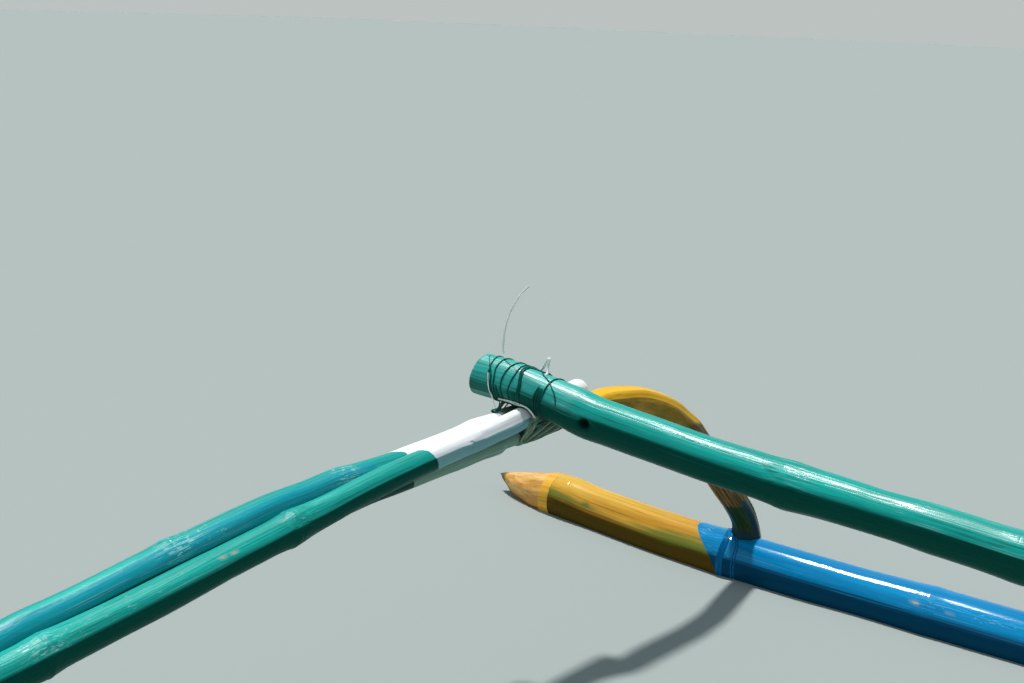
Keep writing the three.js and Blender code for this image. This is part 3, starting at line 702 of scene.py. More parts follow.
def pole_solid(ts, point, base, axis, nodes, m, seed, start, end, edge=None, extra=None, dome=0.62, **shape):
    """A pole along axis (0 is X, 1 is Y). start and end: 'round', 'hollow', 'flat' or 'dished'."""
    t0, t1 = ts[0], ts[-1]
    R, wear = culm(ts, base(ts), nodes, m, seed, **shape)
    th = np.arange(m) / m * TAU
    P = point(ts)
    rings, where, bare, wr = [R], [ts], [np.zeros_like(R)], [wear]

    def cap(kind, t, sign):
        first = R[0] if sign < 0 else R[-1]
        w = wear[0] if sign < 0 else wear[-1]
        r = float(first.mean())
        rows = []
        if kind == "round":
            for a in np.radians([12, 24, 36, 48, 58, 67, 75, 82, 87]):
                rows.append((t + sign * r * dome * math.sin(a), first * math.cos(a), 0.0))
        elif kind == "flat":
            for a in np.radians([30, 60, 90]):
                rows.append((t + sign * 0.0012 * math.sin(a), first - 0.0012 * (1 - math.cos(a)), 0.0))
            rows.append((t + sign * 0.0012, first * 0.6, 0.0))
            rows.append((t + sign * 0.0012, first * 0.2, 0.0))
        else:
            deep, wall = (0.085, 0.0085) if kind == "hollow" else (0.006, 0.009)
            for a in np.radians([45, 90]):
                rows.append((t + sign * 0.0006 * math.sin(a), first - 0.0006 * (1 - math.cos(a)), 0.5))
            inner = first - wall - 0.0008 * vnoise(np.cos(th) * 2, np.sin(th) * 2, seed=seed + 6)
            c = 1.0 if kind == "hollow" else 0.0
            rows += [(t + sign * 0.0007, first - wall * 0.5, c), (t + sign * 0.0004, inner + 0.0005, c),
                     (t - sign * 0.0006, inner, c), (t - sign * deep * 0.5, inner - 0.0003, c),
                     (t - sign * (deep - 0.003), inner - 0.0008, c), (t - sign * deep, inner * 0.93, c),
                     (t - sign * deep, inner * 0.5, c), (t - sign * (deep - 0.001), inner * 0.15, c)]
        return [(q, a, b, w) for q, a, b in rows]

    before = cap(start, t0, -1)[::-1]
    after = cap(end, t1, 1)
    t_all = np.concatenate([[q[0] for q in before], ts, [q[0] for q in after]])
    R_all = np.concatenate([np.array([q[1] for q in before]).reshape(-1, m), R, np.array([q[1] for q in after]).reshape(-1, m)])
    b_all = np.concatenate([np.repeat([[q[2]] for q in before], m, 1).reshape(-1, m), np.zeros_like(R),
                            np.repeat([[q[2]] for q in after], m, 1).reshape(-1, m)])
    w_all = np.concatenate([np.array([q[3] for q in before]).reshape(-1, m), wear, np.array([q[3] for q in after]).reshape(-1, m)])
    P = point(np.clip(t_all, t0, t1))
    P[:, axis] = t_all
    n = len(t_all)
    along = np.zeros(3); along[axis] = 1
    up = np.array([0.0, 0, 1])
    N = np.repeat([np.cross(along, up)], n, 0)
    B = np.repeat([up], n, 0)
    flow = np.stack([np.broadcast_to((t_all + seed * 1.37)[:, None], R_all.shape),
                     R_all * np.cos(th), R_all * np.sin(th)], -1)
    ex = {"flow": flow, "wear": w_all, "bare": b_all}
    ex["edge"] = edge(t_all[:, None], th[None]) * np.ones_like(R_all) if edge else np.full_like(R_all, -1.0)
    if extra:
        ex.update({k: f(t_all[:, None], th[None]) * np.ones_like(R_all) for k, f in extra.items()})
    return ring_solid(P, N, B, R_all, ex)


def float_point(x):
    q = smooth_table(FLOAT_M, x)
    return np.stack([np.asarray(x, float), q[:, 0], q[:, 1]], -1)


def float_radius(x): return smooth_table(FLOAT_M, x)[:, 2]


def side_point(x):
    q = smooth_table(SIDE_M, x)
    return np.stack([np.asarray(x, float), np.full(len(q), SIDE_Y), q[:, 0]], -1)


def side_radius(x): return smooth_table(SIDE_M, x)[:, 1]


def spot(verts, point, radius, axis, where, deg, size):
    """How near each vertex lies to a place on a pole's surface, from 1 to 0 over size (along, round)."""
    c = point([where])[0]
    r = float(np.atleast_1d(radius(np.array([where])))[0])
    a = math.radians(deg)
    across = np.array([0.0, math.cos(a), math.sin(a)]) if axis == 0 else np.array([math.cos(a), 0.0, math.sin(a)])
    h = c + across * r
    scale = np.ones(3) / size[1]
    scale[axis] = 1 / size[0]
    return np.exp(-np.sum(((verts - h) * scale) ** 2, axis=1))


def build_float():
    nodes = [n * MM for n in FLOAT_NODES]
    ts = stations_along(-FLOAT_JOINT_X + 0.0016, FLOAT_JOINT_X - 0.0016, nodes, 0.0125)

    def edge(x, th):       # the blue middle starts past the strut's foot; its line slants round the trunk
        u = np.sin(th)
        line = np.where(x > 0, 1.633 + 0.050 * u + 0.045 * u * u, 1.672 - 0.028 * u + 0.020 * np.cos(th))
        return line - np.abs(x)

    old = lambda x, th: np.exp(-((np.sin(th) - 0.45) / 0.30) ** 2) + 0.4 * np.exp(-((np.sin(th) + 0.9) / 0.3) ** 2)
    # painted shade: the float's lower half is darkened
    under = lambda x, th: step01(0.72, 0.0, np.sin(th)) + 0.0 * x
    verts, quads, tris, ex = pole_solid(ts, float_point, float_radius, 0, nodes, 120, 5, "flat", "flat", edge,
                                        {"old": old, "under": under},
                                        swell=[0.03, 0.055, 0.050, 0.055, 0.055, 0.030, 0.055, 0.022], ring=0.5, scar=0.5, worn=0.30)
    chips = 0.0
    for x, deg, size in ((1.036, 39, (0.010, 0.004)), (0.941, 37, (0.006, 0.003)), (0.60, 20, (0.008, 0.003)), (-0.7, 50, (0.011, 0.004))):
        chips = np.maximum(chips, spot(verts, float_point, float_radius, 0, x, deg, size))
    ex["chip"] = np.where(chips > 0.4, 0.9, chips)
    ex["stain_and_shade"] = 0.75 * spot(verts, float_point, float_radius, 0, 2.125, 33, (0.013, 0.008))
    ex["wear"] = np.clip(ex["wear"] + 0.45 * np.exp(-((verts[:, 0] - 1.690) / 0.030) ** 2) * step01(0.03, 0.07, verts[:, 2] - 0.03)
                         + 0.40 * np.exp(-((verts[:, 0] - 0.86) / 0.20) ** 2) * np.exp(-((verts[:, 2] - 0.085) / 0.016) ** 2), 0, 1)
    piece = make_mesh("float_trunk", verts, quads, tris, ex, FLOAT_PAINT, sharp=40)
    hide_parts("float_pole")


def build_plug(name, node, sign, seed):
    rows = [r for r in metres(FLOAT_AXIS) if r[0] >= FLOAT_JOINT_X - 1e-9]
    m = 96
    th = np.arange(m) / m * TAU
    x = np.concatenate([[0, 0.0006], np.linspace(0.002, 0.247, 110), [0.251, 0.254, 0.2565, 0.2585, 0.260, 0.2612, 0.2618]]) + FLOAT_JOINT_X
    q = smooth_table(rows, x)
    base = q[:, 2].copy()
    base[0] -= 0.0016
    base[1] -= 0.0004
    tip = np.clip((x[-1] - x) / 0.014, 0, 1)
    base = np.maximum(base * np.where(x > x[-1] - 0.014, np.sqrt(np.clip(tip, 0.02, 1)), 1), 0.0008)
    # whittled faces that run out along the cone, cut a little differently as they go
    faces = np.array([8, 47, 88, 131, 170, 214, 256, 301, 338]) + 6 * np.array([vnoise(k * 3.7, seed=seed) for k in range(9)])
    cut = step01(FLOAT_JOINT_X + 0.030, FLOAT_JOINT_X + 0.090, x)[:, None]
    total = 0
    for i, a in enumerate(faces):
        swing = 7 * vnoise(x * 9, i * 5.3, seed=seed + 3)[:, None]
        depth = 0.950 + 0.022 * vnoise(x * 14, i * 3.1, seed=seed + 5)[:, None]
        c = np.clip(np.cos(th[None] - np.radians(a + swing)), 0, 1)
        total = total + (c / depth) ** 26
    poly = np.minimum(total ** (-1 / 26), 1.03)
    R = base[:, None] * (1 + cut * (poly - 1))
    dents = vnoise(x[:, None] * 45, np.cos(th) * 2.6, np.sin(th) * 2.6, seed + 7)
    R = R + cut * base[:, None] * 0.010 * dents + 0.00025 * vnoise(x[:, None] * 6, np.cos(th) * 13, np.sin(th) * 13, seed + 8)
    R = np.maximum(R, 0.0006)
    P = np.stack([sign * x, q[:, 0], q[:, 1]], -1)
    n = len(x)
    N = np.repeat([[0.0, 1, 0]], n, 0)
    B = np.repeat([[0.0, 0, 1]], n, 0)
    one = np.ones_like(R)
    ex = {"flow": np.stack([(x[:, None] + seed) * one, R * np.cos(th), R * np.sin(th)], -1),
          "low": step01(0.05, -0.60, np.sin(th))[None] * one,
          "tip": step01(2.455, 2.535, x)[:, None] * one,
          "band": (1 - step01(FLOAT_JOINT_X + 0.024, FLOAT_JOINT_X + 0.058, x))[:, None] * one}
    verts, quads, tris, ex = ring_solid(P, N, B, R, ex)
    piece = make_mesh(name, verts, quads, tris, ex, CARVED, sharp=50)
    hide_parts(node)


def build_side():
    nodes = [n * MM for n in SIDE_NODES]
    ts = stations_along(-SIDE_END_X + 0.0008, SIDE_END_X - 0.0008, nodes, 0.011)
    m = 120
    def under(x, th):      # painted shade: the paint is darkened below; near the ends it does so more slowly
        k, past = step01(1.46, 1.54, np.abs(x)), step01(1.70, 1.745, np.abs(x))
        return (1 - k) * step01(0.56, 0.10, np.sin(th)) + k * (1 - 0.36 * past) * step01(0.58, -0.22, np.sin(th))

    verts, quads, tris, ex = pole_solid(ts, side_point, side_radius, 0, nodes, m, 8, "dished", "dished", None, {"under": under},
                                        swell=[0.05, 0.045, 0.045, 0.05, 0.045, 0.045, 0.035], ring=0.12, scar=0.12, worn=0.12,
                                        ridge=0.00026)
    # the nearest node bulges mostly below
    bulge = 0.0042 * np.exp(-((np.abs(verts[:, 0]) - 1.535) / 0.045) ** 2)
    c = side_point(verts[:, 0])
    out = unit((verts - c) * [0, 1, 1])
    verts = verts + out * (bulge * step01(0.1, -0.9, out[:, 2]))[:, None]
    # both ends are cut a little aslant
    lift = (verts[:, 2] - side_point(verts[:, 0])[:, 2]) / 0.051
    verts[:, 0] -= np.sign(verts[:, 0]) * 0.010 * step01(SIDE_END_X - 0.035, SIDE_END_X, np.abs(verts[:, 0])) * (lift + 1)
    # a round knot hole beside the node next to the bow boom, and a shallow one aft; painted shade darkens their insides
    ex["hole_shade"] = np.zeros(len(verts))
    for hx, ang, r, deep in ((1.517, -3, 0.0135, 0.011), (-0.86, 40, 0.006, 0.006)):
        c = side_point([hx])[0]
        rr = side_radius([hx])[0]
        n = np.array([0, math.cos(math.radians(ang)), math.sin(math.radians(ang))])
        h = c + n * rr
        d = np.linalg.norm((verts - h) * [0.8, 1, 1], axis=1)
        push = deep * (1 - step01(r * 0.45, r * 1.10, d)) - 0.0010 * np.exp(-((d - r * 1.5) / (r * 0.5)) ** 2)
        near = d < r * 3.5
        verts[near] -= n * push[near, None]
        ex["hole_shade"] = np.maximum(ex["hole_shade"], np.clip(1.45 - d / r, 0, 1))
    scuff = np.exp(-((verts[:, 0] - 1.03) / 0.05) ** 2) * step01(-0.015, -0.04, verts[:, 2] - side_point(verts[:, 0])[:, 2])
    between = np.exp(-((verts[:, 0] - 1.735) / 0.022) ** 2) * np.exp(-(((verts[:, 2] - side_point(verts[:, 0])[:, 2]) + 0.020) / 0.012) ** 2)
    low = verts[:, 2] - side_point(verts[:, 0])[:, 2]
    patch = np.exp(-((verts[:, 0] - 1.702) / 0.024) ** 2 - ((low + 0.021) / 0.013) ** 2)
    ex["wear"] = np.clip(ex["wear"] + 0.8 * scuff + 0.75 * between + 0.85 * patch, 0, 1)
    ex["haze"] = step01(1.53, 1.58, np.abs(verts[:, 0]))
    piece = make_mesh("side_culm", verts, quads, tris, ex, SIDE_PAINT, sharp=45)
    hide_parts("side_pole")


def boom_curves(xs, sign, drop):
    def fore(y):
        q = smooth_table(BOOM_M, y)
        return np.stack([xs + sign * (q[:, 0] - PRESS), np.atleast_1d(np.asarray(y, float)), q[:, 1] - drop], -1)

    def aft(y):
        q = smooth_table(BOOM_M, y)
        y = np.atleast_1d(np.asarray(y, float))
        spread = BOOM_SPREAD * np.maximum(0, y - 2.0) / (BOOM_BUTT_Y - 2.0)
        return np.stack([xs + sign * (PRESS - spread), y, q[:, 3] - drop], -1)

    fore_r = lambda y: smooth_table(BOOM_M, y)[:, 2]
    aft_r = lambda y: smooth_table(BOOM_M, y)[:, 4]
    return fore, aft, fore_r, aft_r


def build_boom(station, xs, sign, drop, seed):
    fore, aft, fore_r, aft_r = boom_curves(xs, sign, drop)
    wob = {"bow": 0.0, "mid": 0.021, "stern": -0.017}[station]
    for kind, point, radius, y0, y1, line, mat, slot in (
            ("fore", fore, fore_r, 0.655, BOOM_BUTT_Y - 0.0008, 1.316, FORE_PAINT, "bluish_teal_paint"),
            ("aft", aft, aft_r, 0.965, BOOM_BUTT_Y - 0.0308, 1.298, AFT_PAINT, "teal_paint")):
        nodes = [n * MM for n in BOOM_NODES[kind]]
        m = 64 if station == "bow" else 44
        ts = stations_along(y0, y1, nodes, 0.013 if station == "bow" else 0.018)
        k = seed + (0 if kind == "fore" else 5)
        tilt = 0.030 if kind == "fore" else 0.018
        bend = 0.010 if kind == "fore" else 0.004
        edge = lambda y, th, line=line, tilt=tilt, bend=bend: line + wob + tilt * np.sin(th + 0.6) + bend * np.sin(2 * th + 1) - y
        aftness = lambda th: -sign * np.cos(th)       # +1 on the side away from the bow
        # painted shade on the underside and the low aft side
        first, full = (0.62, 0.80) if kind == "fore" else (0.34, 0.46)
        under = lambda y, th, first=first, full=full: step01(first, full, np.cos(
            th - (math.pi * 1.24 if sign > 0 else -math.pi * 0.24)) - 0.09 * step01(1.22, 1.12, y))
        if kind == "fore":
            blue = lambda y, th: step01(0.15, 0.55, aftness(th)) * step01(1.36, 1.46, y) * step01(-0.5, -0.1, np.sin(th)) \
                + 0.5 * step01(2.15, 2.35, y) * step01(-0.2, 0.3, np.sin(th))
            extra = {"under": under, "band": blue}
            lean = math.pi + 0.25 if sign > 0 else -0.25
            sw = [0.06, 0.07, 0.085, 0.085, 0.085, 0.085]
        else:
            extra = {"under": under}
            lean = 0.25 if sign > 0 else math.pi - 0.25
            sw = [0.05, 0.15, 0.13, 0.10, 0.10, 0.10]
        verts, quads, tris, ex = pole_solid(ts, point, radius, 1, nodes, m, k, "round", "hollow", edge, extra,
                                            dome=0.97, swell=sw, ring=0.7, scar=0.6,
                                            worn=0.55, lean_to=lean)
        ex["wear"] = np.clip(ex["wear"] * step01(0.1, 0.3, np.abs(verts[:, 1] - 0.9)), 0, 1)
        if kind == "fore":    # painted shade on the fore pole under the side pole and its lashings
            ex["stain_and_shade"] = 0.95 * step01(0.745, 0.780, verts[:, 1]) * step01(0.975, 0.960, verts[:, 1])
        if kind == "fore":    # rubbed patches on top, between two nodes
            up = step01(0.0, 0.8, (verts[:, 2] - point(verts[:, 1])[:, 2]) / 0.032)
            rub = (0.42 * np.exp(-((verts[:, 1] - 1.88) / 0.12) ** 2) + 0.22 * np.exp(-((verts[:, 1] - 1.50) / 0.10) ** 2)) * up
            ex["wear"] = np.clip(ex["wear"] + rub, 0, 1)
        else:
            up = step01(0.0, 0.8, (verts[:, 2] - point(verts[:, 1])[:, 2]) / 0.028)
            ex["wear"] = np.clip(ex["wear"] + 0.30 * np.exp(-((verts[:, 1] - 2.10) / 0.25) ** 2) * up, 0, 1)
        if kind == "aft" and station == "bow":
            chips = np.maximum(spot(verts, aft, aft_r, 1, 1.890, 129, (0.0045, 0.0036)), spot(verts, aft, aft_r, 1, 1.862, 132, (0.005, 0.0020)))
            ex["chip"] = np.where(chips > 0.4, 0.85, chips)
            # the eye of an old branch beside the node, under the white paint
            near = np.sqrt(-np.log(np.maximum(spot(verts, aft, aft_r, 1, 1.174, 167, (0.0130, 0.0115)), 1e-9)))
            c = point(verts[:, 1])
            out = unit((verts - c) * [1, 0, 1])
            lift = 0.0040 * step01(1.25, 0.80, near) - 0.0040 * np.exp(-((near - 0.62) / 0.18) ** 2) + 0.0012 * step01(0.45, 0.2, near)
            verts = verts + out * lift[:, None]
            # painted shade in the groove round the eye
            ex["under"] = np.maximum(ex["under"], 0.90 * np.exp(-((near - 0.62) / 0.26) ** 2))
        if kind == "aft":
            # outboard of that node the culm has a flat flank, as bamboo has above a branch
            c = point(verts[:, 1])
            rr = radius(verts[:, 1])
            nf = np.array([-sign * math.cos(math.radians(30)), 0, math.sin(math.radians(30))])
            over = (verts - c) @ nf - rr * np.interp(verts[:, 1], [0.95, 0.97, 1.04, 1.12, 1.155], [0.83, 0.83, 0.91, 0.965, 1.06])
            push = 0.5 * (over + np.sqrt(over ** 2 + 0.0008 ** 2)) - 0.0002
            verts = verts - nf * (np.maximum(push, 0) * step01(0.940, 0.955, verts[:, 1]))[:, None]
        piece = make_mesh(f"{station}_boom_{kind}_culm", verts, quads, tris, ex, mat, sharp=45)
        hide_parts(f"{station}_boom_{kind}_pole")


def strut_curve(xs, sign, drop):
    rows = []
    for dx, y, z, r in STRUT_M:
        k = min(1, max(0, (z - 0.110) / 0.450))
        rows.append([xs + sign * dx, y, z - drop * k, r])
    rows = np.array(rows)
    s = np.concatenate([[0], np.cumsum(np.linalg.norm(np.diff(rows[:, :3], axis=0), axis=1))])
    return rows, s


def build_strut(station, xs, sign, drop, seed):
    rows, s = strut_curve(xs, sign, drop)
    # rounder bends than the straight-line table, through the same places
    pts, _ = resample(rows[:, :3], 0.0065)
    ps = np.concatenate([[0], np.cumsum(np.linalg.norm(np.diff(pts, axis=0), axis=1))])
    scale = s[-1] / ps[-1]
    radius = smooth_table(np.column_stack([s, rows[:, 3]]), ps * scale)[:, 0]
    m = 72
    th = np.arange(m) / m * TAU
    t = unit(np.gradient(pts, axis=0))
    side = unit(np.cross(t, np.array([sign * 1.0, 0, 0])))
    top = np.cross(side, t)
    n = len(pts)
    # hewn faces: directions in degrees from the outer side, and how far each stands off the centre
    faces = [(-8, 0.955), (50, 0.950), (102, 0.945), (152, 0.955), (200, 0.955), (250, 0.945), (298, 0.955)]
    total = 0
    for i, (a, h) in enumerate(faces):
        swing = 5 * vnoise(ps * 5, i * 4.7, seed=seed)[:, None]
        depth = h + 0.012 * vnoise(ps * 11, i * 2.9, seed=seed + 1)[:, None]
        c = np.clip(np.cos(th[None] - np.radians(a) - np.radians(swing)), 0, 1)
        total = total + (c / depth) ** 20
    hewn = np.minimum(total ** (-1 / 20), 1.05)
    y = pts[:, 1]
    big = step01(0.80, 0.70, y)[:, None]          # the thick part is hewn, the thin tail is a round peg
    radius = radius - TAIL_NECK * step01(0.972, 0.960, y) * step01(0.66, 0.72, y) * (1 + 1.5 * step01(0.81, 0.77, y))
    R = radius[:, None] * (1 + (0.35 + 0.65 * big) * (hewn - 1))
    R = R + big * 0.0008 * vnoise(ps[:, None] * 26, np.cos(th) * 2.4, np.sin(th) * 2.4, seed + 2)
    R = R + 0.0003 * vnoise(ps[:, None] * 5, np.cos(th) * 11, np.sin(th) * 11, seed + 3)
    # the foot straddles the float: points stop on its surface
    verts = pts[:, None] + (side[:, None] * np.cos(th)[None, :, None] + top[:, None] * np.sin(th)[None, :, None]) * R[..., None]
    low = verts[..., 2] < 0.20 if drop == 0 else verts[..., 2] < 0.19
    flare = step01(0.135, 0.100, verts[..., 2]) * 0.002
    centre = pts[:, None]
    out = unit((verts - centre) * [1, 1, 0])
    verts = verts + out * flare[..., None] * low[..., None]
    fx = verts[..., 0].ravel()
    fp = float_point(fx)
    fr = float_radius(fx) + 0.0012
    v = verts.reshape(-1, 3)
    dy = v[:, 1] - fp[:, 1]
    foot_z = fp[:, 2] + np.sqrt(np.maximum(fr**2 - dy**2, 0.028**2))
    v[:, 2] = np.where(low.ravel(), np.maximum(v[:, 2], foot_z), v[:, 2])
    verts = v.reshape(n, m, 3)
    # attributes
    z = verts[..., 2]
    zk = (z - 0.110) / (0.597 - drop - 0.110)                      # 0 at the foot, 1 at the top of the arch
    facing_aft = -sign * (verts[..., 0] - pts[:, None, 0]) / R      # +1 on the aft side
    inward = (verts[..., 1] - pts[:, None, 1]) / R
    upness = (verts[..., 2] - pts[:, None, 2]) / R
    arch = step01(0.58, 0.80, zk)
    inboard_low = 0.55 * facing_aft + 0.75 * inward - 0.55 * upness          # the broad face that looks back at the hull
    # painted shade and painted green reflection on the arch's inboard faces
    shade = arch * step01(0.02, 0.42, inboard_low)
    leg = (1 - step01(0.74, 0.90, zk)) * big
    raw = leg * step01(0.11, 0.19, zk) * (0.75 + 0.25 * step01(0.5, -0.2, facing_aft))
    green = leg * step01(0.27, 0.17, zk) * 0.95
    blue = np.maximum(step01(0.07, 0.02, zk), leg * step01(0.84, 0.98, facing_aft) * step01(0.30, 0.20, zk) * 0.95)
    # painted shade that deepens towards the foot, where the leg meets the float
    foot_painted_shade = step01(0.45, 0.06, zk) * np.ones_like(R)
    tail = step01(0.78, 0.74, y)[:, None]
    tail = (1 - tail) * np.ones_like(R)
    edge = np.where(y > 0.958, 1.330 - y, -1.0)[:, None] * np.ones_like(R)     # dark teal again under the lashings: painted shade
    wear = np.clip(0.25 * np.exp(-((upness - 0.5) / 0.4) ** 2), 0, 1) * big
    flow = np.stack([np.broadcast_to((ps + seed * 0.9)[:, None], R.shape), R * np.cos(th), R * np.sin(th)], -1)
    ex = {"flow": flow, "wear": wear, "shade": shade, "raw": raw, "green": green, "blue": blue, "tail": tail, "edge": edge, "foot": foot_painted_shade}
    _, quads, tris, exf = ring_solid(pts, side, top, R, ex)
    # drop the rings that ended inside the float, then close the foot with a saddle face
    keep = n
    for i in range(n):
        if pts[i, 2] < 0.095 and y[i] < 0.3:
            keep = i
            break
    idx = keep * m
    foot = verts[:keep].reshape(-1, 3)
    grid = [foot]
    exk = {k: f[:idx] for k, f in exf.items()}
    rings = [verts[keep - 1]]
    last_c = verts[keep - 1].mean(0)
    saddle, last = [], verts[keep - 1]
    for f in (0.75, 0.5, 0.25):
        ring = last_c + (last - last_c) * f
        p = float_point(ring[:, 0])
        r = float_radius(ring[:, 0]) + 0.0012
        ring[:, 2] = p[:, 2] + np.sqrt(np.maximum(r**2 - (ring[:, 1] - p[:, 1])**2, 0.028**2))
        saddle.append(ring)
    sp = np.concatenate(saddle)
    allv = np.concatenate([foot, sp, pts[:1], [[last_c[0], last_c[1], float_point([last_c[0]])[0][2] + float_radius([last_c[0]])[0] + 0.0012]]])
    rows_n = keep + 3
    k = np.arange(m)
    rr = np.arange(rows_n - 1)
    a = rr[:, None] * m + k[None]
    b = rr[:, None] * m + (k[None] + 1) % m
    quads = np.stack([a, b, b + m, a + m], -1).reshape(-1, 4)
    c0, c1 = rows_n * m, rows_n * m + 1
    nxt = (k + 1) % m
    tris = np.concatenate([np.stack([np.full(m, c0), nxt, k], -1),
                           np.stack([np.full(m, c1), (rows_n - 1) * m + k, (rows_n - 1) * m + nxt], -1)])
    out_ex = {}
    for key, f in exk.items():
        lastring = f[-m:]
        out_ex[key] = np.concatenate([f, lastring, lastring, lastring, f[:m].mean(0, keepdims=True), lastring.mean(0, keepdims=True)])
    piece = make_mesh(f"{station}_strut_wood", allv, quads, tris, out_ex, STRUT_PAINT, sharp=50)
    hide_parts(f"{station}_strut")


# ---- lashings ----------------------------------------------------------------------------------------
def on_side(xs, sign, dx, deg, off):
    """Point on the side pole: dx from the station, deg round from the inboard side, off the surface."""
    x = xs + sign * dx
    c, r = side_point([x])[0], side_radius([x])[0]
    for n in SIDE_NODES:
        r = r * (1 + 0.07 * math.exp(-((x - n * MM) / 0.026) ** 2))
    a = math.radians(deg)
    return np.array([x, SIDE_Y + (r + off) * math.cos(a), c[2] + (r + off) * math.sin(a)])


def winding(xs, sign, rows, off, step=12):
    """Cord on the side pole through rows of (dx, degrees[, off]); even small steps round the pole."""
    rows = [r if len(r) > 2 else (*r, off) for r in rows]
    out = []
    for a, b in zip(rows[:-1], rows[1:]):
        k = max(1, int(abs(b[1] - a[1]) / step + 0.5))
        for i in range(k):
            q = i / k
            out.append(on_side(xs, sign, a[0] + (b[0] - a[0]) * q, a[1] + (b[1] - a[1]) * q, a[2] + (b[2] - a[2]) * q))
    out.append(on_side(xs, sign, *rows[-1]))
    return out


def boom_circles(drop, y):
    """The two poles and the strut's tail at y, as circles (X from the station, Z, radius)."""
    fore, aft, fore_r, aft_r = boom_curves(0.0, 1, drop)
    f = fore([y])[0]
    out = [(f[0], f[2], float(fore_r([y])[0]))]
    rows, s = strut_curve(0.0, 1, drop)
    tail = rows[rows[:, 1] > 0.80]
    order = np.argsort(tail[:, 1])
    tx, tz, tr = (float(np.interp(y, tail[order, 1], tail[order, i])) for i in (0, 2, 3))
    out.append((tx, tz, tr - TAIL_NECK * float(step01(0.972, 0.960, y))))
    if y > 0.943:          # the aft pole ends in a dome beside the side pole
        a, r = aft([max(y, 0.965)])[0], float(aft_r([max(y, 0.965)])[0])
        out.append((a[0], a[2], math.sqrt(max(1e-8, r * r - max(0.0, 0.965 - y) ** 2))))
    return out


def shaded(p):
    """1 on the side pole's lower half, 0 on top: where cords get painted shade."""
    return step01(0.024, 0.0, p[:, 2] - side_point(p[:, 0])[:, 2])


def under_boom(xs, sign, drop, y, off, deg0, deg1, slant=0.0, step=12):
    """Cord round the underside of a boom's two poles and the strut's tail, hugging them, at y."""
    circles = boom_circles(drop, y)
    out = []
    k = max(2, int(abs(deg1 - deg0) / step + 0.5))
    for i in range(k + 1):
        w = math.radians(deg0 + (deg1 - deg0) * i / k)
        n = (math.cos(w), math.sin(w))
        x, z, r = max(circles, key=lambda c: c[0] * n[0] + c[1] * n[1] + c[2])
        out.append(np.array([xs + sign * (x + (r + off) * n[0]), y + slant * (i / k - 0.5), z + (r + off) * n[1]]))
    return out


